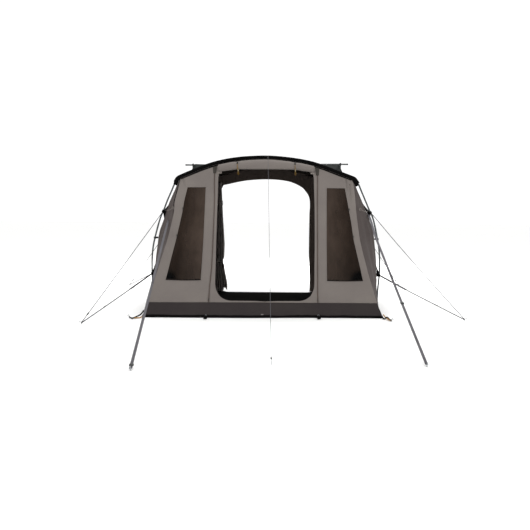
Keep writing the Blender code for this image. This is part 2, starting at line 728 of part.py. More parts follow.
def make_stays():
    lines = (
        ("upper", UPPER_GUSSET[2], (CORD_RADIUS, CORD_RADIUS)),
        ("lower", LOWER_GUSSET[2], (WEBBING_HALF, WEBBING_HALF_THICK)),
    )
    for end, y, pegs in (("front", FRONT_ARCH, FRONT_PEGS), ("rear", REAR_ARCH, REAR_PEGS)):
        for side, sign in SIDES.items():
            whole = peg(f"{end}_guys_{side}", pegs[side])
            for level, clip, halves in lines:
                heights = clip - SLOPE_SPAN, clip, clip + SLOPE_SPAN
                below, start, above = (Vector((sign * along(LEG_LINE, z), y, z)) for z in heights)
                axis = (above - below).normalized()
                line = stay(f"{end}_{level}_line_{side}", start, pegs[side], *halves, axis)
                combine(whole, line, "UNION")
    clip = UPPER_GUSSET[2] - STORM_BELOW_CLIP
    for side, sign in SIDES.items():
        x = along(WALL_LINE, clip) + STORM_HALF + 2 * GAP
        start = Vector((sign * x, FRONT_ARCH - GUSSET_HALF_THICK, clip))
        line = stay(f"storm_line_{side}", start, STORM_PEGS[side], STORM_HALF, WEBBING_HALF_THICK)
        combine(peg(f"storm_strap_{side}", STORM_PEGS[side]), line, "UNION")
    start = Vector((0.0, FRONT_ARCH - SLEEVE_HALF_WIDTH, APEX_HEIGHT + CENTRE_ABOVE_APEX))
    line = stay("centre_line", start, CENTRE_PEG, CORD_RADIUS, CORD_RADIUS)
    combine(peg("centre_guy", CENTRE_PEG), line, "UNION")


def main():
    for obj in list(bpy.data.objects):
        bpy.data.objects.remove(obj, do_unlink=True)
    make_poles()
    make_roof()
    make_sides()
    make_front()
    make_roll()
    make_rear()
    make_curtain()
    make_tunnel()
    make_gussets()
    make_floor()
    make_stays()


main()
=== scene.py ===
import json
import math

import bpy
from mathutils import Matrix, Vector, noise

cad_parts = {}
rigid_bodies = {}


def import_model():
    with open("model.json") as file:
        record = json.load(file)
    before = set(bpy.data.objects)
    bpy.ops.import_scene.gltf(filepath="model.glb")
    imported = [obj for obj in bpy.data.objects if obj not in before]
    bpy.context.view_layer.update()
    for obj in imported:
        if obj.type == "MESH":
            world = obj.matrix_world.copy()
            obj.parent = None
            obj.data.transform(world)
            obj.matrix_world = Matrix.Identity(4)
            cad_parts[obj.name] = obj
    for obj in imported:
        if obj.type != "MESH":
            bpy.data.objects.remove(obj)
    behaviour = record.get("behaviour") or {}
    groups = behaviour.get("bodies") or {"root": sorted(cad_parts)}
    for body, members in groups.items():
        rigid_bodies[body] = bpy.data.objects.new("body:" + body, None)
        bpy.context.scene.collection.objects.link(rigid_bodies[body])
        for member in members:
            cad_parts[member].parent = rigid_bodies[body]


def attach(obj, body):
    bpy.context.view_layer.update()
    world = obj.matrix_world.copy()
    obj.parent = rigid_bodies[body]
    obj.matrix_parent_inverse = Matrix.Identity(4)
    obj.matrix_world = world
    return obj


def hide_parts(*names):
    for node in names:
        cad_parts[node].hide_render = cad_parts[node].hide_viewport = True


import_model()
loaded = set(bpy.data.objects)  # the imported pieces, which are never changed themselves
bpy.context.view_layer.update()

# the frame's own sizes in metres, repeated from the model
tent = {
    "front": -1.165, "lean": 0.75, "frontArch": -0.415, "rearArch": 1.165, "backPole": 1.885,
    "halfFront": 1.49, "crownRadius": 2.3, "crownHalf": 0.8, "slope": 0.371, "apex": 2.083,
    "bowHalf": 1.19, "roofDrop": 0.0244, "underRoof": 0.029,
    "skirt": 0.18, "skirtTop": .1798, "panelFoot": .1812,
    "wall": ((1.555, 0), (1.553, .18), (1.54, .433), (1.517, .737), (1.492, .985), (1.47, 1.079),
             (1.388, 1.293), (1.32, 1.449), (1.21, 1.69), (1.1696, 1.7768)),
    "leg": ((1.205, 1.785), (1.235, 1.742), (1.315, 1.572), (1.4, 1.381), (1.445, 1.29), (1.487, 1.168),
            (1.535, .992), (1.568, .841), (1.584, .674), (1.586, .509), (1.582, .266), (1.575, 0)),
}
sides = (("left", -1), ("right", 1))
ends = (("front", tent["frontArch"]), ("rear", tent["rearArch"]))


def blend(a, b, t):
    return a + (b - a) * t


def ease(t):
    t = max(0.0, min(1.0, t))
    return t * t * (3 - 2 * t)


def shares(count):  # from 0 to 1 in this many equal steps
    return [k / count for k in range(count + 1)]


def grid(across, up, place):  # rows of places, with u running across and v upwards
    return [[place(u, v) for u in shares(across)] for v in shares(up)]


def alongChain(points, z):
    for a, b in zip(points, points[1:]):
        if min(a[1], b[1]) <= z <= max(a[1], b[1]):
            return blend(a[0], b[0], (z - a[1]) / (b[1] - a[1]))
    return points[-1][0] if abs(z - points[-1][1]) < abs(z - points[0][1]) else points[0][0]


def smoothChain(points, steps):
    ends, made = [points[0], *points, points[-1]], []
    for p, q, r, s in zip(ends, ends[1:], ends[2:], ends[3:]):
        for t in (k / steps for k in range(steps)):
            made.append(tuple(.5 * (2 * b + (c - a) * t + (2 * a - 5 * b + 4 * c - d) * t**2
                                    + (3 * b - a - 3 * c + d) * t**3) for a, b, c, d in zip(p, q, r, s)))
    return [*made, points[-1]]


def smoothPath(points):  # a smooth curve through places in space
    return [Vector(p) for p in smoothChain([tuple(p) for p in points], 6)]


def ringPath(centre, one, two, count, start=0.0, turn=360.0):  # an arc about the centre, in degrees
    angles = [math.radians(start + turn * t) for t in shares(count)]
    return [centre + Vector(one) * math.cos(a) + Vector(two) * math.sin(a) for a in angles]


def grain(x, y, z, scale):
    return noise.noise(Vector((x * scale, y * scale, z * scale)))


legChain = smoothChain(tent["leg"], 2)
wallTop = tent["wall"][-1]


def roofLine(x, drop=0.0):
    x, crown = abs(x), tent["crownRadius"] - drop
    if x <= tent["crownHalf"] * crown / tent["crownRadius"]:
        return tent["apex"] - tent["crownRadius"] + math.sqrt(crown**2 - x**2)
    level = tent["apex"] - tent["crownRadius"] + math.sqrt(tent["crownRadius"]**2 - tent["crownHalf"]**2)
    return level - (x - tent["crownHalf"]) * tent["slope"] - drop * math.hypot(1, tent["slope"])


def underRoof(x):
    return roofLine(x, tent["underRoof"])


def wallX(z):
    return alongChain(tent["wall"], z)


def legX(z):
    return alongChain(legChain, z)


def seamX(z):
    return blend(tent["halfFront"], wallTop[0], z / wallTop[1])


def faceBehind(x, z):  # how far the leaning front is behind its foot
    across = abs(x) / tent["halfFront"]
    for _ in range(12):
        rise = z / roofLine(across * wallTop[0], tent["roofDrop"])
        across = abs(x) / blend(tent["halfFront"], wallTop[0], rise)
    return tent["lean"] * rise


def onFace(x, z, out=0.0):  # a place on the front, or this far before it
    return Vector((x, tent["front"] + faceBehind(x, z) - out, z))


# materials: this one function adds each node
def addNode(tree, kind, settings=None, inputs=None):
    node = tree.nodes.new(kind)
    for key, value in (settings or {}).items():
        setattr(node, key, value)
    for key, value in (inputs or {}).items():
        if isinstance(value, bpy.types.NodeSocket):
            tree.links.new(value, node.inputs[key])
        else:
            node.inputs[key].default_value = value
    return node


def linear(code):  # an sRGB hex colour as linear light
    parts = [int(code[k:k + 2], 16) / 255 for k in (1, 3, 5)]
    return (*(c / 12.92 if c <= .04045 else ((c + .055) / 1.055)**2.4 for c in parts), 1.0)


def newMaterial(name, values):
    made = bpy.data.materials.new(name)
    made.use_nodes = True
    shader = made.node_tree.nodes["Principled BSDF"]
    for key, value in values.items():
        shader.inputs[key].default_value = value
    return made, made.node_tree, shader


# plain-woven cloth: matt, with faint threads, uneven dye and soft creases, and with footShade, painted shade
# that darkens it towards the foot
def wovenCloth(name, colours, threadMm, threadTone, roughness, sheen=0.0, coat=0.0, shine=.25, footShade=0.0,
               dyeScale=2.6, creaseMm=6.0):
    made, tree, shader = newMaterial(name, {
        "Roughness": roughness, "Sheen Weight": sheen, "Sheen Roughness": .5, "Coat Weight": coat,
        "Coat Roughness": .35, "IOR": 1.5, "Specular IOR Level": shine})
    uv = addNode(tree, "ShaderNodeUVMap", {"uv_map": "clothMetres"}).outputs[0]
    place = addNode(tree, "ShaderNodeTexCoord").outputs["Object"]
    bands = []
    for way in ("X", "Y"):  # a wave's period is 0.314 m divided by its scale
        bands.append(addNode(tree, "ShaderNodeTexWave", {"bands_direction": way}, {
            "Vector": uv, "Scale": .314159 / (threadMm / 1000), "Distortion": .6,
            "Detail": 1.0, "Detail Scale": 2.0}).outputs["Fac"])
    weave = addNode(tree, "ShaderNodeMath", {"operation": "MULTIPLY"}, {0: bands[0], 1: bands[1]}).outputs[0]
    dye = addNode(tree, "ShaderNodeTexNoise", inputs={
        "Vector": place, "Scale": dyeScale, "Detail": 5.0, "Roughness": .6}).outputs["Fac"]
    dyed = addNode(tree, "ShaderNodeMapRange", inputs={"Value": dye, 1: .3, 2: .7}).outputs[0]
    base = addNode(tree, "ShaderNodeMix", {"data_type": "RGBA"}, {
        0: dyed, 6: linear(colours[0]), 7: linear(colours[1])}).outputs[2]
    # painted shade: footShade darkens the colour towards the foot, where less light reaches
    height = addNode(tree, "ShaderNodeSeparateXYZ", inputs={0: place}).outputs["Z"]
    footShading = addNode(tree, "ShaderNodeMapRange", inputs={"Value": height, 1: .1, 2: 1.9, 3: 1 - footShade, 4: 1.0})
    threads = addNode(tree, "ShaderNodeMapRange", inputs={
        "Value": weave, 3: 1 - threadTone, 4: footShading.outputs[0]}).outputs[0]
    toned = addNode(tree, "ShaderNodeMix", {"data_type": "RGBA", "blend_type": "MULTIPLY"}, {
        0: 1.0, 6: base, 7: threads}).outputs[2]
    tree.links.new(toned, shader.inputs["Base Color"])
    crease = addNode(tree, "ShaderNodeTexNoise", inputs={
        "Vector": place, "Scale": 7.0, "Detail": 3.0, "Distortion": .8}).outputs["Fac"]
    soft = addNode(tree, "ShaderNodeBump", inputs={
        "Height": crease, "Distance": creaseMm / 1000, "Strength": .35}).outputs[0]
    fine = addNode(tree, "ShaderNodeBump", inputs={
        "Height": weave, "Distance": threadMm / 4000, "Strength": .35, "Normal": soft}).outputs[0]
    tree.links.new(fine, shader.inputs["Normal"])
    return made


# braided cord: small slanting ribs round it, which catch the light in turn
def corded(name, colours, ribMm, roughness):
    made, tree, shader = newMaterial(name, {"Roughness": roughness, "Specular IOR Level": .3})
    uv = addNode(tree, "ShaderNodeUVMap", {"uv_map": "clothMetres"}).outputs[0]
    turned = addNode(tree, "ShaderNodeMapping", inputs={"Vector": uv, "Rotation": (0, 0, .7)}).outputs[0]
    rib = addNode(tree, "ShaderNodeTexWave", inputs={
        "Vector": turned, "Scale": .314159 / (ribMm / 1000), "Distortion": .5}).outputs["Fac"]
    tone = addNode(tree, "ShaderNodeMix", {"data_type": "RGBA"}, {
        0: rib, 6: linear(colours[0]), 7: linear(colours[1])}).outputs[2]
    tree.links.new(tone, shader.inputs["Base Color"])
    bump = addNode(tree, "ShaderNodeBump", inputs={"Height": rib, "Distance": ribMm / 4000, "Strength": .6})
    tree.links.new(bump.outputs[0], shader.inputs["Normal"])
    return made


# small hard pieces and threads: fine mottling, with gloss that varies a little
def plainFinish(name, colours, grainMm, roughness, metal=0.0, coat=0.0, bumpMm=.15):
    made, tree, shader = newMaterial(name, {"Metallic": metal, "Coat Weight": coat})
    place = addNode(tree, "ShaderNodeTexCoord").outputs["Object"]
    speck = addNode(tree, "ShaderNodeTexNoise", inputs={
        "Vector": place, "Scale": 1000 / grainMm, "Detail": 3.0}).outputs["Fac"]
    tone = addNode(tree, "ShaderNodeMix", {"data_type": "RGBA"}, {
        0: speck, 6: linear(colours[0]), 7: linear(colours[1])}).outputs[2]
    tree.links.new(tone, shader.inputs["Base Color"])
    dull = addNode(tree, "ShaderNodeMapRange", inputs={
        "Value": speck, 3: roughness - .08, 4: roughness + .08})
    tree.links.new(dull.outputs[0], shader.inputs["Roughness"])
    bump = addNode(tree, "ShaderNodeBump", inputs={
        "Height": speck, "Distance": bumpMm / 1000, "Strength": .4})
    tree.links.new(bump.outputs[0], shader.inputs["Normal"])
    return made


# clear sheet tinted in the melt: brown, with painted shade darker to its outer side and at its foot, a
# painted black outer lower corner, painted streaks of light and shade, and folds
def tintedFilm():
    made, tree, shader = newMaterial("tintedVinylFilm", {
        "Roughness": .24, "IOR": 1.53, "Specular IOR Level": .05, "Alpha": .94})
    place = addNode(tree, "ShaderNodeTexCoord").outputs["Object"]
    uv = addNode(tree, "ShaderNodeUVMap", {"uv_map": "clothMetres"}).outputs[0]
    part = addNode(tree, "ShaderNodeSeparateXYZ", inputs={0: uv}).outputs
    haze = addNode(tree, "ShaderNodeTexNoise", inputs={
        "Vector": place, "Scale": 2.6, "Detail": 3.0}).outputs["Fac"]
    wavy = addNode(tree, "ShaderNodeMath", {"operation": "MULTIPLY_ADD"}, {
        0: haze, 1: .22, 2: part["X"]}).outputs[0]
    # painted shade: darker towards its outer side, standing in for the dark inside seen through the film
    across = addNode(tree, "ShaderNodeMapRange", inputs={"Value": wavy, 1: -.10, 2: .24}).outputs[0]
    tone = addNode(tree, "ShaderNodeMix", {"data_type": "RGBA"}, {
        0: across, 6: linear("#463b34"), 7: linear("#271e18")}).outputs[2]
    # painted shade: the outer lower corner darkens to black, standing in for the dark inside seen through the
    # film
    reach = addNode(tree, "ShaderNodeVectorMath", {"operation": "DISTANCE"}, {
        0: uv, 1: (.21, .03, 0)}).outputs["Value"]
    near = addNode(tree, "ShaderNodeMath", {"operation": "MULTIPLY_ADD"}, {
        0: haze, 1: .16, 2: reach}).outputs[0]
    corner = addNode(tree, "ShaderNodeMapRange", {"interpolation_type": "SMOOTHSTEP"}, {
        "Value": near, 1: .14, 2: .25}).outputs[0]
    # painted shade: darker towards its foot
    foot = addNode(tree, "ShaderNodeMapRange", inputs={
        "Value": part["Y"], 1: .02, 2: .60, 3: .60, 4: 1.0}).outputs[0]
    # painted light and shade: faint slanting streaks along the folds it keeps from being rolled up, and the
    # right-hand film darker because it gets less light
    slant = addNode(tree, "ShaderNodeMapping", inputs={
        "Vector": place, "Rotation": (0, .32, 0), "Scale": (1, 1, .06)}).outputs[0]
    foldShadeNoise = addNode(tree, "ShaderNodeTexNoise", inputs={
        "Vector": slant, "Scale": 13.0, "Detail": 2.0}).outputs["Fac"]
    foldShade = addNode(tree, "ShaderNodeMapRange", inputs={
        "Value": foldShadeNoise, 1: .35, 2: .65, 3: .86, 4: 1.12}).outputs[0]
    sideways = addNode(tree, "ShaderNodeSeparateXYZ", inputs={0: place}).outputs["X"]
    weaker = addNode(tree, "ShaderNodeMapRange", inputs={
        "Value": sideways, 1: -.8, 2: .8, 3: .97, 4: .91}).outputs[0]
    lit = addNode(tree, "ShaderNodeMath", {"operation": "MULTIPLY"}, {0: foot, 1: weaker}).outputs[0]
    shade = addNode(tree, "ShaderNodeMath", {"operation": "MULTIPLY"}, {0: lit, 1: foldShade}).outputs[0]
    shaded = addNode(tree, "ShaderNodeMix", {"data_type": "RGBA", "blend_type": "MULTIPLY"}, {
        0: 1.0, 6: tone, 7: shade}).outputs[2]
    dark = addNode(tree, "ShaderNodeMix", {"data_type": "RGBA"}, {
        0: corner, 6: linear("#000000"), 7: shaded}).outputs[2]
    tree.links.new(dark, shader.inputs["Base Color"])
    turned = addNode(tree, "ShaderNodeMapping", inputs={
        "Vector": place, "Rotation": (0, .5, 0), "Scale": (1, 1, .22)}).outputs[0]
    fold = addNode(tree, "ShaderNodeTexNoise", inputs={
        "Vector": turned, "Scale": 9.0, "Detail": 2.0}).outputs["Fac"]
    bump = addNode(tree, "ShaderNodeBump", inputs={"Height": fold, "Distance": .012, "Strength": .5})
    tree.links.new(bump.outputs[0], shader.inputs["Normal"])
    return made


# cloths: name, two sRGB tones, thread spacing in mm, how dark the gaps are, roughness, and what else differs;
# the spacings are drawn at 1.6 to 5 mm, because the real 0.3 to 0.6 mm is too fine to show
frontCloth = wovenCloth("polycottonTaupe", ("#726b67", "#79726d"), 2.6, .10, .86, footShade=.16,
                        sheen=.06)  # spun yarn: soft and matt, with painted shade darker towards the foot
shadedSideCloth = wovenCloth("polycottonStoneShaded", ("#4a4240", "#534c4a"), 2.6, .10, .88, footShade=.16,
                       sheen=.03, shine=.12)  # the same yarn in a darker tone, which paints in the shade of walls that get less light
roofCloth = wovenCloth("coatedPolyesterRoof", ("#59534f", "#625c58"), 2.6, .08, .74,
                       sheen=.05, coat=.08)  # smooth filament under a thin coat: a dull glow
skirtCloth = wovenCloth("coatedPolyesterSkirt", ("#312b2c", "#363130"), 3.5, .14, .7,
                        shine=.12)  # coarse coated cloth: dark with visible threads
floorCloth = wovenCloth("tarpaulinFloor", ("#141413", "#1d1c1b"), 5.0, .2, .95, shine=0.0)  # flat black ribs
shadedRearCloth = wovenCloth("polycottonRearShaded", ("#5a504a", "#635953"), 2.6, .10, .88, sheen=.08)  # the taupe yarn made darker and browner: painted shade for the unlit inside
tunnelCloth = wovenCloth("polyesterTunnel", ("#121615", "#181c1b"), 2.4, .12, .75, shine=.12)  # thin and cool
liningCloth = wovenCloth("coatedLiningDark", ("#1d1a18", "#24201e"), 2.6, .08, .9, shine=0.0)  # no glow
curtainClothPaintedLight = wovenCloth("polycottonCurtainPaintedLight", ("#7d7874", "#a09994"), 2.2, .12, .8, dyeScale=9.0,
                          sheen=.05)  # painted light: far lighter than the cloth's own tone, standing in for light that passes through it, so its folds show
blindCloth = wovenCloth("polyesterBlindDark", ("#1a1614", "#231e1b"), 2.2, .12, .8, shine=.05)  # nearly black
blackWebbing = wovenCloth("polyesterWebbingBlack", ("#090808", "#0e0d0d"), 3.0, .3, .8, creaseMm=2.0,
                          shine=.04)  # thick ribs, deep black
zipTapeCloth = wovenCloth("polyesterZipTape", ("#5c534e", "#655c56"), 1.6, .25, .8,
                          creaseMm=1.0)  # tight ribs
patchCloth = wovenCloth("polyesterPatchDark", ("#38342f", "#413d38"), 2.0, .15, .8,
                        creaseMm=2.0)  # stiff and plain
strapWeave = wovenCloth("polyesterWebbingGrey", ("#5a585c", "#656368"), 2.4, .25, .75,
                        creaseMm=1.0)  # cool ribs
paleWeave = wovenCloth("polyesterTapePale", ("#8f8781", "#9d958f"), 2.0, .2, .8, creaseMm=1.0)  # undyed tape
tagWeave = wovenCloth("polyesterTagGrey", ("#6a6462", "#757070"), 2.0, .15, .8, creaseMm=1.0)  # a light speck
filmSheet = tintedFilm()

# cords, threads and hard pieces, with their rib or grain in mm
tieCord = corded("braidedElasticOchre", ("#6e5420", "#8d6c2c"), 3.0, .7)  # warm ribs
guyCord = corded("braidedGuyCord", ("#3c3c40", "#55555a"), 3.5, .6)  # a dark line with a light fleck
tanCord = corded("braidedElasticTan", ("#8a5f2e", "#b08a52"), 4.0, .65)  # orange-tan ribs
thread = plainFinish("polyesterThread", ("#5c5653", "#6d6764"), 3, .7)  # sewn in the cloth's own colour
darkThread = plainFinish("polyesterThreadDark", ("#1b1a1a", "#2a2828"), 3, .7)
coil = plainFinish("nylonZipCoil", ("#3d251b", "#533628"), 4, .45, coat=.1)  # brown plastic with a glint
steel = plainFinish("galvanisedSteel", ("#8d9193", "#a7abad"), 6, .42, metal=1.0)  # mottled zinc
darkPole = plainFinish("powderCoatedSteelPole", ("#3c4142", "#4a4f50"), 2, .42, coat=.15)  # satin grey
alloy = plainFinish("anodisedAluminiumPole", ("#505252", "#5c5e5e"), 3, .45, metal=1.0,
                    bumpMm=.05)  # dull metal
moulded = plainFinish("mouldedNylonBlack", ("#101111", "#1a1b1b"), 1.5, .48)  # eroded mould: soft gloss
tan = plainFinish("mouldedAcetalBeige", ("#776b50", "#85785c"), 2, .5, coat=.05)  # beige and waxy
print("materials made")

# camera, floor and soft light: where each lamp hangs, what it faces, its size and its power
shot = {"place": (0.029, -8.165, 1.338), "pitch": 5.45, "yaw": -0.26, "roll": 0.43, "lens": 37.84}
studio = {"half": 60, "below": .002, "floor": "#f6f6f5", "sky": 1.08, "lamps": (
    ("keyBox", (-0.5, -5.0, 8.5), (0, 0, .8), 5.0, 90),
    ("topBox", (0.5, 2.5, 8.0), (0, 0, 0), 7.0, 330),
    ("backBox", (0.3, 6.5, 3.0), (0, 2.0, 0), 3.0, 340))}


def addToScene(name, data):
    made = bpy.data.objects.new(name, data)
    bpy.context.scene.collection.objects.link(made)
    return made


def makeCamera():
    p, y, r = (math.radians(shot[k]) for k in ("pitch", "yaw", "roll"))
    ahead = Vector((math.sin(y) * math.cos(p), math.cos(y) * math.cos(p), -math.sin(p)))
    level = Vector((math.cos(y), -math.sin(y), 0))
    upright = level.cross(ahead)
    across = level * math.cos(r) + upright * math.sin(r)
    upward = upright * math.cos(r) - level * math.sin(r)
    data = bpy.data.cameras.new("camera")
    data.lens, data.sensor_width, data.clip_end = shot["lens"], 36, 200
    camera = addToScene("camera", data)
    turn = Matrix((across, upward, -ahead)).transposed().to_4x4()
    camera.matrix_world = Matrix.Translation(shot["place"]) @ turn
    bpy.context.scene.camera = camera


def makeStage():
    mesh = bpy.data.meshes.new("studioFloor")
    half, below = studio["half"], -studio["below"]
    corners = [(-half, -half, below), (half, -half, below), (half, half, below), (-half, half, below)]
    mesh.from_pydata(corners, [], [(0, 1, 2, 3)])
    pale, _, _ = newMaterial("palePaintedFloor", {"Base Color": linear(studio["floor"]), "Roughness": .9})
    mesh.materials.append(pale)
    addToScene("studioFloor", mesh)
    world = bpy.data.worlds.new("studioWhite")
    world.use_nodes = True
    sky = world.node_tree.nodes["Background"].inputs
    sky[0].default_value, sky[1].default_value = (1, 1, 1, 1), studio["sky"]
    bpy.context.scene.world = world
    for name, place, target, size, power in studio["lamps"]:
        data = bpy.data.lights.new(name, "AREA")
        data.shape, data.size, data.energy = "DISK", size, power
        heading = (Vector(target) - Vector(place)).to_track_quat("-Z", "Y")
        addToScene(name, data).matrix_world = Matrix.Translation(place) @ heading.to_matrix().to_4x4()
    view = bpy.context.scene.view_settings
    view.view_transform, view.look = "Standard", "None"


makeCamera()
makeStage()


# every finished piece rides on the tent's one body, and may stand for some of its solids
def settle(piece, slot, *stands):
    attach(piece, "root")
    for name in stands:
        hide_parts(name)
    return piece


def newObject(name, points, faces, finish):
    mesh = bpy.data.meshes.new(name)
    mesh.from_pydata([tuple(p) for p in points], [], faces)
    mesh.materials.append(finish)
    mesh.update()
    mesh.shade_smooth()
    return addToScene(name, mesh)


def setMetres(mesh, places):  # the UV of each corner, from its point's own distances in metres
    layer = mesh.uv_layers.new(name="clothMetres")
    for loop in mesh.loops:
        layer.data[loop.index].uv = places[loop.vertex_index]


def thicken(piece, thick):  # inwards from the outer side that was drawn
    solidify = piece.modifiers.new("thickness", "SOLIDIFY")
    solidify.thickness, solidify.offset = thick, -1
    return solidify


# cloth: a sheet from a grid of places on its outer side, facing away from a place inside the tent
def clothPiece(name, rows, finish, slot, *stands, thickMm=1.4, keep=None, middle=(0, 0, 1.0), lining=None):
    across = len(rows[0])
    points = [Vector(p) for row in rows for p in row]
    metres, rise = [], [0.0] * across
    for i, row in enumerate(rows):
        reach = [0.0]
        for a, b in zip(row, row[1:]):
            reach.append(reach[-1] + (Vector(b) - Vector(a)).length)
        if i:
            rise = [r + (Vector(p) - Vector(q)).length for r, p, q in zip(rise, row, rows[i - 1])]
        metres += [(u - reach[-1] / 2, v) for u, v in zip(reach, rise)]
    faces, outward = [], 0.0
    for i in range(len(rows) - 1):
        for k in range(across - 1):
            if keep is None or keep(i, k):
                n = i * across + k
                faces.append((n, n + 1, n + 1 + across, n + across))
    for f in faces[::7]:
        a, b, c = (points[n] for n in f[:3])
        outward += (b - a).cross(c - a).dot(a - Vector(middle))
    if outward < 0:
        faces = [tuple(reversed(f)) for f in faces]
    used = sorted({n for f in faces for n in f})
    index = {n: i for i, n in enumerate(used)}
    made = newObject(name, [points[n] for n in used], [tuple(index[n] for n in f) for f in faces], finish)
    setMetres(made.data, [metres[n] for n in used])
    solidify = thicken(made, thickMm / 1000)
    if lining:  # the inner side has its own finish
        made.data.materials.append(lining)
        solidify.material_offset = 1
    return settle(made, slot, *stands)


def flatSize(rows):  # the cut's width, length and area, from the smooth grid
    rows = [[Vector(p) for p in row] for row in rows]
    width = max(sum((b - a).length for a, b in zip(row, row[1:])) for row in rows)
    length = max(sum((b[k] - a[k]).length for a, b in zip(rows, rows[1:])) for k in range(len(rows[0])))
    area = 0.0
    for a, b in zip(rows, rows[1:]):
        for k in range(len(a) - 1):
            area += ((b[k + 1] - a[k]).cross(b[k] - a[k + 1])).length / 2
    return width, length, area


def hangCloth(rows, area=None):
    width, length, whole = flatSize(rows)
    share = min(1.0, (area or whole) / (width * length))
    if share < .32:  # a tapering cut, laid between others
        width, share = width * share / .5, .5


# the front: panels with windows cut through, the door surround and the skirt
face = {
    "zip": 0.705, "zipHalf": 0.007, "doorHalf": 0.645, "sill": 0.203, "doorRadius": 0.23, "header": 0.108,
    "headerLift": 0.030, "cornerX": .56, "cornerZ": .33, "windowInner": 0.822, "outerTop": 1.066,
    "outerFoot": 1.28, "windowTop": 1.665, "windowFoot": 0.453, "cornerReach": 0.2, "sideReach": 0.36,
    "flare": 0.018, "billow": 0.007, "crease": 0.0022, "lowCrease": .0035, "hem": 0.032,
    # how far each seam stands out from its straight line, at these heights
    "seamLeft": ((.044, 0), (.030, .2), (.030, .35), (.026, .47), (.014, .6), (.006, .73), (-.002, .86),
                 (-.008, 1.0), (-.010, 1.2), (-.003, 1.36), (.008, 1.48), (0, 1.74)),
    "seamRight": ((.002, 0), (-.018, .2), (-.030, .35), (-.042, .47), (-.052, .6), (-.058, .73), (-.062, .86),
                  (-.062, 1.0), (-.058, 1.2), (-.046, 1.36), (-.030, 1.48), (-.014, 1.6), (0, 1.74)),
    # how far the skirt's foot is pegged forward, across the front; its black foot there also stands in for
    # part of the contact shadow, as painted shade
    "bow": ((0, -1.25), (.024, -.85), (.050, -.4), (.052, -.15), (.034, .2), (.008, .65), (0, 1.0)),
    # soft folds under the eaves: from (x, z) to (x, z), their width and their depth
    "folds": ((-1.135, 1.78, -1.085, 1.62, .010, .012), (1.088, 1.78, 1.098, 1.56, .009, .016),
              (1.125, 1.72, 1.165, 1.36, .012, .014)),
}
seams = {-1: smoothChain(face["seamLeft"], 6), 1: smoothChain(face["seamRight"], 6)}
bowed = smoothChain(face["bow"], 6)
windowHigh = face["windowTop"] - face["windowFoot"]


def windowOuter(z):  # the slanting outer edge of a window
    return blend(face["outerFoot"], face["outerTop"], (z - face["windowFoot"]) / windowHigh)


# the pegged corners stand out from the straight cut
def cornerShift(sign, z, away, reach=face["cornerReach"]):
    if away >= reach:
        return Vector()
    out = alongChain(seams[sign], z) + face["flare"] * max(0.0, 1 - z / tent["skirt"])**1.5
    return Vector((sign * out * (1 - away / reach)**2, 0, 0))


def faceRelief(x, z):
    calm = ease((z - .17) / .12) * ease((underRoof(x) - z) / .1) * ease(abs(abs(x) - face["zip"]) / .09)
    calm *= ease((seamX(z) - abs(x)) / .1)
    slack = grain(x + 4, z * .7, 3.1, 1.6) * face["billow"]
    folds = grain(x * .8 + z * .9 + 7, z * 2.4 - x * .8, 1.7, 3.1) * face["crease"]
    low = grain(x * .5, z * 5, 8.8, 2.6) * face["lowCrease"] * ease((.5 - z) / .25)
    pinch = 0.0
    for x0, z0, x1, z1, wide, deep in face["folds"]:
        if z1 < z < z0:
            t = (z0 - z) / (z0 - z1)
            near = math.exp(-((x - blend(x0, x1, t)) / wide)**2)
            pinch -= deep * near * ease((1 - t) / .6) * ease((seamX(z) - abs(x)) / .02)
    return calm * (slack + folds + low) + pinch


def frontPlace(x, z, out=0.0):
    return onFace(x, z, out + faceRelief(x, z)) + cornerShift(1 if x > 0 else -1, z, seamX(z) - abs(x))


def makeFrontPanel(side, sign):
    counts = (8, 20, 20)  # columns inside the window, across it and outside it
    levels = ((tent["panelFoot"], face["windowFoot"], 18), (face["windowFoot"], face["windowTop"], 80),
              (face["windowTop"], None, 22))

    def columns(z):
        marks = (face["zip"] + face["zipHalf"], face["windowInner"], windowOuter(z), seamX(z) - .002)
        xs = []
        for a, b, n in zip(marks, marks[1:], counts):
            xs += [blend(a, b, k / n) for k in range(n)]
        return [*xs, marks[-1]]

    rows, plain = [], []
    for low, high, n in levels:
        for j in range(n + (high is None)):
            heights = [low] * (sum(counts) + 1)
            for _ in range(4):  # the top row follows the roof, whose height changes with x
                xs = [columns(z)[i] for i, z in enumerate(heights)]
                heights = [blend(low, high if high else underRoof(x), j / n) for x in xs]
            rows.append([frontPlace(sign * x, z) for x, z in zip(xs, heights)])
            plain.append([onFace(sign * x, z) for x, z in zip(xs, heights)])
    highs = range(levels[0][2], levels[0][2] + levels[1][2])
    wides = range(counts[0], counts[0] + counts[1])
    panel = clothPiece(f"frontPanel{side.title()}", rows, frontCloth, "front_cloth", f"front_panel_{side}",
                       keep=lambda i, k: not (i in highs and k in wides))
    hole = windowHigh * (face["outerTop"] + face["outerFoot"] - 2 * face["windowInner"]) / 2
    hangCloth(plain, area=flatSize(plain)[2] - hole)


def doorTop(x):
    return underRoof(x) - face["header"] + face["headerLift"] * ease((abs(x) - .38) / .26)


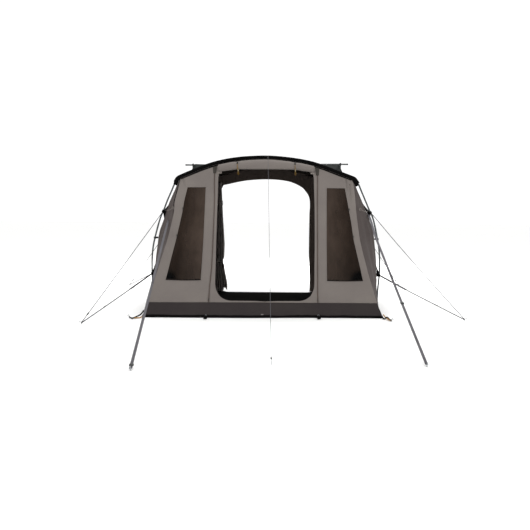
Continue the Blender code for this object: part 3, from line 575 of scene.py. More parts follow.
def doorEdge():  # pairs of places on the doorway's edge and the surround's outer edge, for its right half
    half, radius, sill = face["doorHalf"], face["doorRadius"], face["sill"]
    outer, foot = face["zip"] - face["zipHalf"], tent["panelFoot"]
    cornerX, cornerZ = face["cornerX"], face["cornerZ"]
    pairs = [((blend(0, half - radius, k / 14), sill), (blend(0, cornerX, k / 14), foot)) for k in range(14)]
    for k in range(16):
        a = math.pi / 2 * k / 16
        inner = (half - radius + radius * math.sin(a), sill + radius * (1 - math.cos(a)))
        over = (blend(cornerX, outer, k / 8), foot) if k < 8 else (outer, blend(foot, cornerZ, (k - 8) / 8))
        pairs.append((inner, over))
    top, over = doorTop(half), underRoof(outer)
    for t in shares(60)[:-1]:
        pairs.append(((half, blend(sill + radius, top, t)), (outer, blend(cornerZ, over, t))))
    for t in shares(24):
        x, wide = half * (1 - t), outer * (1 - t)
        pairs.append(((x, doorTop(x)), (wide, underRoof(wide))))
    return pairs


def mirrored(pairs):
    return [((-a[0], a[1]), (-b[0], b[1])) for a, b in reversed(pairs)]


def makeSurround():
    right = doorEdge()
    loop = right + mirrored(right[:-1])
    rows = [[frontPlace(blend(b[0], a[0], t), blend(b[1], a[1], t)) for a, b in loop] for t in shares(6)]
    surround = clothPiece("doorSurround", rows, frontCloth, "front_cloth", "door_surround")
    round(flatSize(rows)[2], 4)


def skirtPlace(x, z, out=0.0):
    slack = grain(x, z * 3, 5.5, 4.0) * .003 * math.sin(math.pi * max(0, z) / tent["skirt"])
    slack += alongChain(bowed, x) * max(0.0, 1 - z / tent["skirt"])**1.4
    return onFace(x, z, out + slack) + cornerShift(1 if x > 0 else -1, z, seamX(z) - abs(x))


def makeFrontSkirt():
    def place(u, v):
        z = blend(.0035, tent["skirtTop"], v)
        return skirtPlace(blend(-1, 1, u) * (seamX(z) - .003), z)

    def hemPlace(u, v):  # the black hem along the ground, drawn taller so that it also takes in part of the contact shadow below it: partly painted shade
        t = blend(-1, 1, u)
        high = face["hem"] * (1 + .22 * grain(t * 5, 1, 2, 1.3) + .1 * grain(t * 19, 3, 2, 1.3))
        z = blend(.0012, high, v)
        return skirtPlace(t * (seamX(z) - .003), z, .0032 - .0006 * (v == 1))

    rows = grid(160, 14, place)
    skirt = clothPiece("frontSkirt", rows, skirtCloth, "skirt_cloth", "front_skirt", thickMm=1.2)
    hem = clothPiece("frontHem", grid(200, 3, hemPlace), blackWebbing, "black_webbing")
    hangCloth(rows)


for sideName, sideSign in sides:
    makeFrontPanel(sideName, sideSign)
makeSurround()
makeFrontSkirt()
print("front made")

# roof and side walls
roof = {"sag": 0.016, "edge": 0.012, "ripple": .004, "across": 96, "deep": 60}
wall = {"full": 0.012, "sag": 0.012, "fold": 0.006, "ripple": .005, "rows": 110, "ahead": 34, "behind": 44,
        "foot": .1806, "underRoof": .0055}


def makeRoof():
    def flat(u, v):
        x = wallTop[0] * (2 * u - 1)
        y = blend(tent["frontArch"] - roof["edge"], tent["rearArch"] + roof["edge"], v)
        return x, y, roofLine(x, tent["roofDrop"])

    def place(u, v):
        x, y, z = flat(u, v)
        free = math.sin(math.pi * v)**.8
        sag = roof["sag"] * free * (1 - .5 * (x / wallTop[0])**2)
        ripple = grain(x * 2.2, v * .9, 4.2, 2.4) * roof["ripple"] * free
        ripple += math.sin(x * 34 + 2 * v) * .0012 * ease(1 - 5 * min(v, 1 - v))
        return x, y, z - sag - abs(ripple)

    top = clothPiece("roofCloth", grid(roof["across"], roof["deep"], place), roofCloth, "side_cloth",
                     "roof_panel", lining=liningCloth)
    hangCloth(grid(roof["across"], roof["deep"], flat))


def wallRows(sign, low, high, count, relief=True):
    rows, arch, ahead, behind = [], tent["frontArch"], wall["ahead"], wall["behind"]
    for z in (blend(low, high, v) for v in shares(count)):
        x, seam, seamY = wallX(z), seamX(z), tent["front"] + tent["lean"] * z / wallTop[1]
        up, row = ease(min(z - low, high - z) / .12), []
        for k in range(ahead + behind + 1):
            if k <= ahead:  # from the front's seam back to the arch, and then to the rear
                t, span = k / ahead, arch - seamY
                across, y, away = blend(seam, x, t), blend(seamY, arch, t), t * span
            else:
                t, span = (k - ahead) / behind, 1.58
                across, y, away = x, blend(arch, tent["rearArch"] + .004, t), 1.0
            pull = 0.0
            if relief:
                free = math.sin(math.pi * t)
                pull = wall["sag"] * free * up * min(1, span / .8)
                if k <= ahead:
                    run = away / max(span, .05)
                    pull += wall["fold"] * up * math.sin(run * 15 + z * 1.5) * free * min(1, span / .3)
                pull += grain(y * 1.4, z * .8, 6.1 * sign, 2.2) * wall["ripple"] * up * free
                pull = max(pull, -.003)
            if sign < 0:  # the left wall is the fuller one
                pull -= wall["full"] * ease((z - 1.2) / .2) * ease((1.765 - z) / .06) * ease((.9 - y) / .8)
            shift = cornerShift(sign, z, away, min(face["sideReach"], arch - seamY))
            row.append(Vector((sign * (across - pull), y, z)) + shift)
        rows.append(row)
    return rows


def makeSides(side, sign):
    high = wallTop[1] - wall["underRoof"]
    body = clothPiece(f"sideWall{side.title()}", wallRows(sign, wall["foot"], high, wall["rows"]), shadedSideCloth,
                      "side_cloth", f"side_wall_{side}")
    hangCloth(wallRows(sign, wall["foot"], high, 40, False))
    rows = wallRows(sign, .0025, tent["skirtTop"], 14)
    skirt = clothPiece(f"sideSkirt{side.title()}", rows, skirtCloth, "skirt_cloth", f"side_skirt_{side}",
                       thickMm=1.2)
    # the side hem is as tall as the front's, so it too takes in part of the contact shadow: partly painted
    # shade
    band = [[p + Vector((sign * .003, 0, 0)) for p in row] for row in wallRows(sign, .0012, face["hem"], 3)]
    hem = clothPiece(f"sideHem{side.title()}", band, blackWebbing, "black_webbing")
    hangCloth(rows)


makeRoof()
for sideName, sideSign in sides:
    makeSides(sideName, sideSign)
print("roof and walls made")


# things swept along a path: sleeves, poles, cords and webbing
def crossings(path, reference):
    made = []
    for i, place in enumerate(path):
        a, b = path[max(i - 1, 0)], path[min(i + 1, len(path) - 1)]
        tangent = (b - a).normalized()
        side = Vector(reference).cross(tangent).normalized()
        made.append((place, side, tangent.cross(side)))
    return made


def tubeFaces(rings, count):  # what lies between rings of this many points each
    faces = []
    for i in range(rings - 1):
        for k in range(count):
            a, b = i * count + k, i * count + (k + 1) % count
            faces.append((a, b, b + count, a + count))
    return faces


def sweep(name, path, half, finish, reference=(0, 1, 0), count=16, square=1.0, vary=None, closed=True):
    path = [Vector(p) for p in path]
    points, metres, run = [], [], 0.0
    for i, (place, side, up) in enumerate(crossings(path, reference)):
        run += (path[i] - path[i - 1]).length if i else 0.0
        for k in range(count):
            a = math.tau * (k + .5) / count
            c, s = math.cos(a), math.sin(a)
            grow = vary(run, a) if vary else 1.0
            across = math.copysign(abs(c)**square, c) * half[0] * grow
            over = math.copysign(abs(s)**square, s) * half[1] * grow
            points.append(place + side * across + up * over)
            metres.append((k / count * math.pi * (half[0] + half[1]), run))
    faces = tubeFaces(len(path), count)
    if closed:
        last = (len(path) - 1) * count
        faces += [tuple(reversed(range(count))), tuple(range(last, last + count))]
    made = newObject(name, points, faces, finish)
    setMetres(made.data, metres)
    return made


def resample(path, step):
    path = [Vector(p) for p in path]
    run = [0.0]
    for a, b in zip(path, path[1:]):
        run.append(run[-1] + (b - a).length)
    count, made, i = max(2, round(run[-1] / step)), [], 0
    for k in range(count + 1):
        at = run[-1] * k / count
        while i < len(path) - 2 and run[i + 1] < at:
            i += 1
        made.append(blend(path[i], path[i + 1], (at - run[i]) / max(run[i + 1] - run[i], 1e-9)))
    return made


def faceOutward(mesh, middle):  # middle(p) is the place inside that a face at p turns away from
    if sum(f.normal.dot(f.center - middle(f.center)) for f in mesh.polygons) < 0:
        mesh.flip_normals()


def joinPieces(name, pieces, slot, *stands):  # several meshes as one object, with their materials
    bpy.ops.object.select_all(action="DESELECT")
    for piece in pieces:
        piece.select_set(True)
    bpy.context.view_layer.objects.active = pieces[0]
    bpy.ops.object.join()
    pieces[0].name = name
    pieces[0].select_set(False)
    return settle(pieces[0], slot, *stands)


def archPath(y, low):
    right = [(tent["bowHalf"] * t, roofLine(tent["bowHalf"] * t)) for t in shares(72)]
    right += [p for p in smoothChain(tent["leg"], 6) if p[1] > low + .004]
    right.append((legX(low), low))
    left = [(-x, z) for x, z in reversed(right[1:])]
    return [Vector((x, y, z)) for x, z in (*left, *right)]


sleeve = {"halfHeight": 0.0225, "halfWidth": 0.016, "cloth": 0.0018, "low": 1.725, "bootLow": 1.70,
          "boot": (.024, .019), "bootFrom": 1.12, "bootLean": {"left": .009, "right": .026}, "bootDrop": .006}


def sewnEdge():  # the seam allowance of the front sleeve, folded down over the top of the front
    def place(u, v):
        x = blend(-1, 1, u) * (wallTop[0] - .012)
        low = blend(.031, .043, ease(abs(x) / .6))
        return frontPlace(x, roofLine(x, blend(low, .012, v)), .0035 + .011 * v**2)

    return clothPiece("sleeveSeam", grid(180, 4, place), blackWebbing, "black_webbing", thickMm=1.2)


def makeSleeve(end, y):
    path = archPath(y, sleeve["low"])
    run = sum((b - a).length for a, b in zip(path, path[1:]))

    def fullness(at, a):  # wider towards its ends, and gathered along its seam
        gathers = .02 * math.sin(at * 16 + 3 * math.sin(a))**2
        return blend(.86, 1.14, ease(abs(at - run / 2) / .85)) - gathers

    def bootShape(at, a):
        return .94 + .34 * math.sin(math.pi * min(1, at / .2))**2 + .02 * math.sin(at * 90 + 2 * math.sin(a))

    outside = sweep(f"{end}PoleSleeve", path, (sleeve["halfHeight"], sleeve["halfWidth"]), blackWebbing,
                    count=20, vary=fullness, closed=False)
    thicken(outside, sleeve["cloth"])
    settle(outside, "black_webbing", f"{end}_pole_sleeve")
    trims = [sewnEdge()] if end == "front" else []
    for side, sign in sides:  # the stout boot at each end, where the arch turns down into the leg
        turn = [p for p in archPath(y, sleeve["bootLow"]) if p.x > sleeve["bootFrom"]]
        lean = sleeve["bootLean"][side] / len(turn)
        turn = [Vector((sign * (p.x - lean * k), p.y, p.z - sleeve["bootDrop"])) for k, p in enumerate(turn)]
        boot = sweep(f"{end}Boot{side.title()}", resample(turn, .006), sleeve["boot"], blackWebbing, count=20,
                     vary=bootShape)
        trims.append(settle(boot, "black_webbing"))


for endName, archY in ends:
    makeSleeve(endName, archY)

# films in the windows: they were rolled up, so they keep slanting folds
film = {"over": .005, "behind": .0026, "fold": .0022, "ripple": .004, "slack": .002}


def makeFilm(side, sign):
    def place(u, v):
        z = blend(face["windowFoot"] - film["over"], face["windowTop"] + film["over"], v)
        outer = blend(face["outerFoot"], face["outerTop"], v) + film["over"]
        x = blend(face["windowInner"] - film["over"], outer, u)
        edge = min(u, 1 - u, v, 1 - v)
        fold = math.sin((x * 5.5 + z * 2.3) * 5) * film["fold"] + grain(x, z, 3.3, 3.4) * film["ripple"]
        out = fold * ease(edge / .12) - film["behind"] - film["slack"] * ease(edge / .1)
        return frontPlace(sign * x, z, out)

    rows = grid(24, 60, place)
    made = clothPiece(f"windowFilm{side.title()}", rows, filmSheet, "window_film", f"window_film_{side}",
                      thickMm=.5)
    hangCloth(rows)


for sideName, sideSign in sides:
    makeFilm(sideName, sideSign)
print("sleeves and films made")

# the rolled-up door
roll = {
    "half": 0.655, "low": 1.908, "lowEnd": 1.870, "flatHalf": 0.399, "deep": 0.032, "below": 0.014,
    "middle": 1.96, "tieX": 0.392, "tieReach": .045, "pinch": 0.12, "tieThick": 0.005, "clear": .0009,
    "girth": .26,
    # the turns of the roll show as steps at its ends: the size of each, and how far it stands out
    "turns": ((.9, .003), (.8, .004), (.62, .003), (.52, .006), (.3, .002), (.2, .008)),
}


def rollPlace(x, a, grow=0.0):  # a place round the roll: a = 0 at its top, a quarter turn at its front
    top = roofLine(x, tent["roofDrop"]) - roll["below"]
    past = max(0.0, abs(x) - roll["flatHalf"]) / (roll["half"] - roll["flatHalf"])
    low = blend(roll["low"], roll["lowEnd"], past)
    middle, up = (top + low) / 2, (top - low) / 2
    lean = Vector((0, tent["lean"], 2.0)).normalized()
    out = Vector((0, -lean.z, lean.y))
    clear = (roll["deep"] + roll["tieThick"] + roll["clear"]) / math.cos(math.atan(tent["lean"] / 2))
    place = Vector((x, tent["front"] + faceBehind(x, middle) - clear, middle))
    near = math.exp(-((abs(x) - roll["tieX"]) / roll["tieReach"])**2)
    pinched = 1 - roll["pinch"] * near * (.5 - .5 * math.cos(a - math.pi / 2 - 1.2))
    folds = 1 + .035 * math.sin(a * 5 + x * 3 + 2 * near) * (1 - near)
    folds += .02 * grain(x * 2, math.cos(a), math.sin(a), 2.0)
    reach = min(pinched * folds, 1.0)
    place += lean * (up * reach + grow) * math.cos(a)
    return place + out * (roll["deep"] * reach + grow) * math.sin(a)


def makeRoll():
    count, stations = 40, [blend(-roll["half"], roll["half"], t) for t in shares(96)]
    angles = [math.tau * k / count for k in range(count)]
    points = [rollPlace(x, a) for x in stations for a in angles]
    metres = [(k / count * roll["girth"], x) for x in stations for k in range(count)]
    faces = tubeFaces(len(stations), count)
    for first, x in ((0, stations[0]), ((len(stations) - 1) * count, stations[-1])):
        ring = [rollPlace(x, a) for a in angles]
        centre = sum(ring, Vector()) / count
        rings, cap = [list(range(first, first + count))], []
        for share, out in roll["turns"]:
            rings.append(list(range(len(points), len(points) + count)))
            points += [centre + (p - centre) * share + Vector((math.copysign(out, x), 0, 0)) for p in ring]
            metres += [(k / count * roll["girth"] * share, x) for k in range(count)]
        for one, two in zip(rings, rings[1:]):
            cap += [(one[k - 1], two[k - 1], two[k], one[k]) for k in (*range(1, count), 0)]
        cap.append(tuple(rings[-1]))
        faces += cap if first else [tuple(reversed(f)) for f in cap]
    made = newObject("doorRoll", points, faces, frontCloth)
    setMetres(made.data, metres)
    faceOutward(made.data, lambda p: Vector((p.x, rollPlace(p.x, 0).y, roll["middle"])))
    settle(made, "front_cloth", "door_roll")


makeRoll()
print("rolled door made")

# rear wall
rear = {
    "doorSides": (-0.88, 0.745), "relief": 0.005, "underRoof": .0252, "inset": .0012, "lap": .004,
    "grid": (24, 70), "panelAhead": .0018, "headerAhead": .001,
    # the doorway's edge, over its top
    "edge": ((.745, 1.30), (.744, 1.402), (.735, 1.50), (.706, 1.60), (.652, 1.68), (.573, 1.757),
             (.363, 1.843), (.041, 1.874), (-.327, 1.852), (-.62, 1.793), (-.72, 1.768), (-.745, 1.73),
             (-.80, 1.55), (-.88, 1.30)),
}


def rearTop(x):
    return roofLine(x, rear["underRoof"])


def rearRelief(p, edge):
    return Vector((0, (grain(p.x, p.z * .5, 2.5, 2.4) - .3) * rear["relief"] * ease(edge / .15), 0))


def makeRearPanel(side, sign, door):  # between its four edges
    inset, y = rear["inset"], tent["rearArch"] - rear["panelAhead"]
    top, split = wallTop[0] - inset, abs(door) - rear["lap"]

    def foot(u):
        return Vector((sign * blend(split, wallX(inset) - inset, u), y, inset))

    def over(u):
        x = blend(split, top, u)
        return Vector((sign * x, y, rearTop(x)))

    def inner(v):
        return Vector((sign * split, y, blend(inset, rearTop(split), v)))

    def outer(v):
        z = blend(inset, wallTop[1] - .03, v)
        return Vector((sign * (wallX(z) - inset), y, z)) if v < 1 else over(1)

    def place(u, v):
        flat = blend(inner(v), outer(v), u) + blend(foot(u), over(u), v)
        flat -= blend(blend(foot(0), foot(1), u), blend(over(0), over(1), u), v)
        return flat + rearRelief(flat, min(u, 1 - u, v, 1 - v))

    rows = grid(*rear["grid"], place)
    panel = clothPiece(f"rearPanel{side.title()}", rows, shadedRearCloth, "side_cloth", f"rear_panel_{side}",
                       middle=(0, -2, 1))
    hangCloth(rows)


def makeRearHeader():
    left, right = rear["doorSides"]
    rows, y = [], tent["rearArch"] - rear["headerAhead"]
    edge = resample([(x, y, z) for x, z in smoothChain(rear["edge"], 8)], .02)
    for v in shares(12):
        row = []
        for u, low in zip(shares(len(edge) - 1), edge):
            x = blend(right, left, u)
            p = blend(low, Vector((x, y, rearTop(x))), v)
            row.append(p + rearRelief(p, v * (1 - v)))
        rows.append(row)
    header = clothPiece("rearHeader", rows, shadedRearCloth, "side_cloth", "rear_header", middle=(0, -2, 1))
    round(max(.36, flatSize(rows)[2]), 3)


for (sideName, sideSign), doorX in zip(sides, rear["doorSides"]):
    makeRearPanel(sideName, sideSign, doorX)
makeRearHeader()

# the rear doorway's curtain, gathered by its tie
curtain = {
    "left": -0.87, "waistX": -0.790, "waist": 0.51, "waistHalf": 0.078, "waistReach": .05, "share": 0.55,
    "folds": 5.5, "foldDepth": .60, "cornerLift": .066, "low": .003, "top": 1.82, "ahead": .0023,
    "right": ((-.642, .012), (-.636, .10), (-.645, .19), (-.683, .39), (-.690, .6), (-.684, .8), (-.708, 1.2),
              (-.742, 1.82)),
}


def curtainBand(z):  # the middle and half width of the gathered curtain at this height
    right = alongChain(curtain["right"], z)
    x, half = (curtain["left"] + right) / 2, (right - curtain["left"]) / 2
    near = math.exp(-((z - curtain["waist"]) / curtain["waistReach"])**2)
    return blend(x, curtain["waistX"], near), blend(half, curtain["waistHalf"], near)


def curtainPlace(t, v):
    z = blend(curtain["low"], curtain["top"], v)
    x, half = curtainBand(z)
    wander = .8 * math.sin(z * 2.1) + 2.0 * grain(t, z * .3, 1.1, 2.0)
    swing = math.sin(math.tau * curtain["folds"] * t + wander)
    crest = math.sin(math.pi * t)**.35
    side = x + half * (2 * t - 1) * (1 - .06 * abs(swing))
    lifted = curtain["cornerLift"] * blend(1, .5, ease((t - .78) / .22)) * ease((t - .68) / .08)
    deep = half * curtain["share"] * (1 + curtain["foldDepth"] * swing * crest)
    return side, tent["rearArch"] - curtain["ahead"] - deep, z + lifted * ease((.25 - z) / .25)


def makeCurtain():
    rows = grid(240, 100, curtainPlace)
    cloth = clothPiece("rearCurtain", rows, curtainClothPaintedLight, "inner_cloth", "rear_curtain", thickMm=1.0,
                       middle=(-.78, 3, 1))
    _, length, area = flatSize(rows)


makeCurtain()

# the tunnel behind
tunnel = {
    "top": 2.19, "shoulder": 2.055, "halfTop": 1.285, "half": 1.345, "halfFoot": 1.20, "sag": .03,
    "ruffle": .006, "hump": .017, "overPole": .0139, "ahead": .025,
    "frontGap": .0163, "sideGap": .0023, "low": .0015,
    "widensAt": 1.6, "fold": .007, "ripple": .02, "bulge": .03,
}
tunnelFrontHalf = wallTop[0] - .004
tunnelEndY = tent["backPole"] - tunnel["ahead"]


def tunnelRear(t):  # the tunnel roof's rear edge, t from -1 to 1 across
    halfTop, over = tunnel["halfTop"], tent["backPole"] - tunnel["overPole"]
    reach = halfTop + math.hypot(tunnel["half"] - halfTop, tunnel["top"] - tunnel["shoulder"])
    run = abs(t) * reach
    if run <= halfTop:
        place = (run, blend(over, tunnelEndY, max(0.0, (run - halfTop + .03) / .03)), tunnel["top"])
    else:
        u = (run - halfTop) / (reach - halfTop)
        place = (blend(halfTop, tunnel["half"], u), tunnelEndY,
                 blend(tunnel["top"], tunnel["shoulder"], u))
    return Vector((math.copysign(place[0], t), place[1], place[2]))


def tunnelRoofPlace(u, v):
    t = 2 * u - 1
    x = tunnelFrontHalf * t
    p = blend(Vector((x, tent["rearArch"] + tunnel["frontGap"], roofLine(x))), tunnelRear(t), v)
    slack = tunnel["sag"] * (1 - t * t) + abs(math.sin(t * 19 + v * 3)) * tunnel["ruffle"]
    hump = tunnel["hump"] * v**6 * ease((x + 1.30) / .12) * ease((-.80 - x) / .25)
    return p - Vector((0, 0, math.sin(math.pi * v) * slack - hump))


def makeTunnelRoof():
    rows = grid(120, 40, tunnelRoofPlace)
    top = clothPiece("tunnelRoof", rows, tunnelCloth, "tunnel_cloth", "tunnel_roof", middle=(0, 1.58, 1))
    hangCloth(rows)


def makeTunnelSide(side, sign):
    frontTop, backTop = roofLine(tunnelFrontHalf) - .0047, tunnel["shoulder"] - .0052

    def place(u, v):
        zFront, zBack = blend(tunnel["low"], frontTop, v), blend(tunnel["low"], backTop, v)
        widened = max(0.0, (zFront - tunnel["widensAt"]) / (frontTop - tunnel["widensAt"]))
        x = blend(tunnel["halfFoot"], tunnelFrontHalf, widened)
        p = blend(Vector((x, tent["rearArch"] + tunnel["sideGap"], zFront)),
                  Vector((tunnel["half"], tunnelEndY, zBack)), u)
        free = math.sin(math.pi * u)
        fold = math.sin(u * 17 + v * 2) * tunnel["fold"] + grain(u, v * 2, sign, 2.0) * tunnel["ripple"]
        fold *= free
        bulge = tunnel["bulge"] * free**.6 * ease((v - .72) / .2) * ease((1 - v) / .05)
        return sign * (p.x - fold * ease(v / .06) * ease((1 - v) / .1) + bulge), p.y, p.z

    rows = grid(30, 60, place)
    flap = clothPiece(f"tunnelSide{side.title()}", rows, tunnelCloth, "tunnel_cloth", f"tunnel_side_{side}",
                      middle=(0, 1.58, 1))
    hangCloth(rows)


makeTunnelRoof()
for sideName, sideSign in sides:
    makeTunnelSide(sideName, sideSign)

# the groundsheet, its loose rear edge drawn back in the rear doorway
floor = {"front": -1.1575, "behind": .0036, "inset": .0055, "drawn": .095, "crease": .004, "low": .0022}


def makeFloor():
    rows = []
    for v in shares(60):
        y = start = blend(floor["front"], tent["rearArch"] - floor["behind"], v)
        share = min(1.0, (start - tent["front"]) / (tent["frontArch"] - tent["front"]))
        half, row = blend(seamX(0), wallX(0), share) - floor["inset"], []
        for u in shares(80):
            x = half * (2 * u - 1)
            crease = floor["crease"] * ease((half - abs(x)) / .1) * ease(min(v, 1 - v) * 15)
            crease *= abs(grain(x, y, .4, 2.3))
            drawn = ease((x + .70) / .06) * ease((.79 - x) / .11) * ease((start - .4) / .75)
            y = start - floor["drawn"] * drawn
            row.append((x, y, floor["low"] + crease))
        rows.append(row)
    laid = clothPiece("floorSheet", rows, floorCloth, "groundsheet", "groundsheet", thickMm=1.6,
                      middle=(0, 0, -3))
    hangCloth(rows)


makeFloor()
print("rear, tunnel and groundsheet made")


# what repeats along a line, such as stitches and zip teeth, is made by this node tree
def repeatTree():
    tree = bpy.data.node_groups.new("repeatAlongLine", "GeometryNodeTree")
    sockets = tree.interface
    sockets.new_socket("Geometry", in_out="INPUT", socket_type="NodeSocketGeometry")
    for name, start in (("Spacing", .012), ("Length", .008), ("Width", .0016), ("Height", .0012),
                        ("Unevenness", .12)):
        sockets.new_socket(name, in_out="INPUT", socket_type="NodeSocketFloat").default_value = start
    sockets.new_socket("Seed", in_out="INPUT", socket_type="NodeSocketInt").default_value = 7
    sockets.new_socket("Material", in_out="INPUT", socket_type="NodeSocketMaterial")
    sockets.new_socket("Geometry", in_out="OUTPUT", socket_type="NodeSocketGeometry")
    given = addNode(tree, "NodeGroupInput").outputs
    spots = addNode(tree, "GeometryNodeCurveToPoints", {"mode": "LENGTH"}, {
        "Curve": given["Geometry"], "Length": given["Spacing"]})
    bead = addNode(tree, "GeometryNodeMeshIcoSphere", inputs={"Radius": .5, "Subdivisions": 1})
    size = addNode(tree, "ShaderNodeCombineXYZ", inputs={
        0: given["Width"], 1: given["Height"], 2: given["Length"]})
    low = addNode(tree, "ShaderNodeMath", {"operation": "SUBTRACT"}, {0: 1.0, 1: given["Unevenness"]})
    vary = addNode(tree, "FunctionNodeRandomValue", {"data_type": "FLOAT"}, {
        2: low.outputs[0], 3: 1.0, "Seed": given["Seed"]})
    scaled = addNode(tree, "ShaderNodeVectorMath", {"operation": "SCALE"}, {
        0: size.outputs[0], "Scale": vary.outputs[1]})
    placed = addNode(tree, "GeometryNodeInstanceOnPoints", inputs={
        "Points": spots.outputs["Points"], "Instance": bead.outputs["Mesh"],
        "Rotation": spots.outputs["Rotation"], "Scale": scaled.outputs[0]})
    real = addNode(tree, "GeometryNodeRealizeInstances", inputs={"Geometry": placed.outputs[0]})
    smooth = addNode(tree, "GeometryNodeSetShadeSmooth", inputs={"Geometry": real.outputs[0]})
    dressed = addNode(tree, "GeometryNodeSetMaterial", inputs={
        "Geometry": smooth.outputs[0], "Material": given["Material"]})
    addNode(tree, "NodeGroupOutput", inputs={0: dressed.outputs[0]})
    return tree


repeatAlongLine = repeatTree()


def repeatAlong(name, lines, values, finish, slot):
    curve = bpy.data.curves.new(name + "Lines", "CURVE")
    curve.dimensions, curve.twist_mode = "3D", "Z_UP"
    for line in lines:
        spline = curve.splines.new("POLY")
        spline.points.add(len(line) - 1)
        for point, place in zip(spline.points, line):
            point.co = (*place, 1)
    guide = addToScene(name + "Guide", curve)
    modifier = guide.modifiers.new("repeat", "NODES")
    modifier.node_group = repeatAlongLine
    inputs = [item for item in repeatAlongLine.interface.items_tree if item.in_out == "INPUT"]
    sockets = {item.name: item.identifier for item in inputs}
    for key, value in {**values, "Material": finish}.items():
        modifier[sockets[key]] = value
    bpy.context.view_layer.update()
    mesh = bpy.data.meshes.new_from_object(guide.evaluated_get(bpy.context.evaluated_depsgraph_get()))
    bpy.data.objects.remove(guide)
    if not mesh.materials:
        mesh.materials.append(finish)
    return settle(addToScene(name, mesh), slot)


def dense(spots, step=.03):  # more spots on the straight lines between these
    made = []
    for a, b in zip(spots, spots[1:]):
        n = max(1, round(math.hypot(b[0] - a[0], b[1] - a[1]) / step))
        made += [(blend(a[0], b[0], k / n), blend(a[1], b[1], k / n)) for k in range(n)]
    return [*made, spots[-1]]


def faceLine(spots, out, step=.03):  # a line over the front through these (x, z) spots
    return [frontPlace(x, z, out) for x, z in dense(spots, step)]


# a strip over the front, between two lines of (x, z) spots
def faceStrip(name, line, edge, out, finish, slot, *stands, thickMm=1.0, across=3):
    rows = [[frontPlace(blend(a[0], b[0], t), blend(a[1], b[1], t), out) for a, b in zip(line, edge)]
            for t in shares(across)]
    return clothPiece(name, rows, finish, slot, *stands, thickMm=thickMm), rows


zips = {
    "half": 0.0066, "patchWide": 0.031, "patchNarrow": 0.019, "patchLong": {"left": 0.088, "right": 0.104},
    "teeth": {"Spacing": .0042, "Length": .0034, "Width": .0062, "Height": .0026, "Unevenness": .05},
}


def makeZip(side, sign):
    x = sign * face["zip"]
    top = underRoof(x)
    low = top - zips["patchLong"][side]
    left, right = (dense([(x + d, tent["panelFoot"]), (x + d, top)]) for d in (-zips["half"], zips["half"]))
    tape, _ = faceStrip(f"zipTape{side.title()}", left, right, .0008, zipTapeCloth, "zip", f"zip_{side}")
    teeth = repeatAlong(f"zipCoil{side.title()}", [faceLine([(x, .19), (x, top - .02)], .0016)],
                        zips["teeth"], coil, "zip")
    left, right = (dense([(x + s * zips["patchWide"], top), (x + s * zips["patchNarrow"], low)], .01)
                   for s in (-1, 1))
    patch, _ = faceStrip(f"zipPatch{side.title()}", left, right, .0036, patchCloth, "side_cloth",
                         thickMm=1.2, across=6)
    puller = sweep(f"zipPuller{side.title()}", faceLine([(x, .235), (x, .205)], .006, .01), (.0045, .0028),
                   moulded, (1, 0, 0), 12, .8)
    settle(puller, "zip")


def windowLoop(sign, grow):  # the window's outline, this much wider
    lean = (face["outerFoot"] - face["outerTop"]) / windowHigh
    out, aside = math.hypot(1, lean) * grow, lean * grow
    low, high = face["windowFoot"] - grow, face["windowTop"] + grow
    inner = sign * (face["windowInner"] - grow)
    return [(inner, low), (sign * (face["outerFoot"] + out + aside), low),
            (sign * (face["outerTop"] + out - aside), high), (inner, high)]


stitches = {"Spacing": .011, "Length": .0075, "Width": .0013, "Height": .0011}
roofStitches = {**stitches, "Width": .0014, "Height": .0012}


def makeStitches():
    light, dark = [], []
    for _, sign in sides:
        for grow in (.005, .017):
            loop = windowLoop(sign, grow)
            light.append(faceLine([*loop, loop[0]], .0004))
        for gap in (.014, .022, -.014):  # beside the zip
            x = sign * (face["zip"] + gap)
            light.append(faceLine([(x, .19), (x, underRoof(x) - .004)], .0004))
        for z in (.172, .04):
            dark.append(faceLine([(sign * .02, z), (sign * (seamX(z) - .02), z)], .0006))
    repeatAlong("frontStitches", light, stitches, thread, "front_cloth")
    across = [wallTop[0] * (2 * t - 1) for t in shares(120)]
    over = [[(x, y, roofLine(x, tent["roofDrop"] - .0006)) for x in across]
            for y in (tent["frontArch"] + .03, tent["rearArch"] - .03)]
    repeatAlong("roofStitches", over, roofStitches, thread, "side_cloth")
    repeatAlong("skirtStitches", dark, stitches, darkThread, "skirt_cloth")


def makeBinding():  # along the doorway's sill and up its two sides
    right, away = doorEdge()[:88], []
    pairs = mirrored(right[1:]) + right
    for a, b in pairs:
        t = .009 / math.hypot(b[0] - a[0], b[1] - a[1])
        away.append((blend(a[0], b[0], t), blend(a[1], b[1], t)))
    binding, rows = faceStrip("doorBinding", [a for a, _ in pairs], away, .0012, blackWebbing,
                              "black_webbing", thickMm=3.4, across=2)
    round(max(.35 * .02 * 4.6, flatSize(rows)[2]), 5)


for sideName, sideSign in sides:
    makeZip(sideName, sideSign)
makeStitches()
makeBinding()
print("zips, bindings and stitches made")

# poles, with their ferrules, and the cross pole with its knobs
poles = {
    "radius": 0.011, "ferrule": 1.09, "ferruleHalf": 0.03, "joints": (0.62, 1.24, 1.86, 2.48),
    "legTop": 1.6997,
    "crossRadius": 0.0135, "crossHalf": 1.447, "knobX": 1.31, "knobRadius": 0.025, "railHalf": 1.25,
    # the knob's shape: how far along, and which share of its radius
    "knob": ((-.016, .6), (-.0155, .86), (-.013, .97), (-.009, 1), (.009, 1), (.013, .97), (.0155, .86),
             (.016, .6)),
}
poleHalf = (poles["radius"], poles["radius"])


def ferrules(run, _):
    return poles["ferrule"] if min(abs(run - at) for at in poles["joints"]) < poles["ferruleHalf"] else 1.0


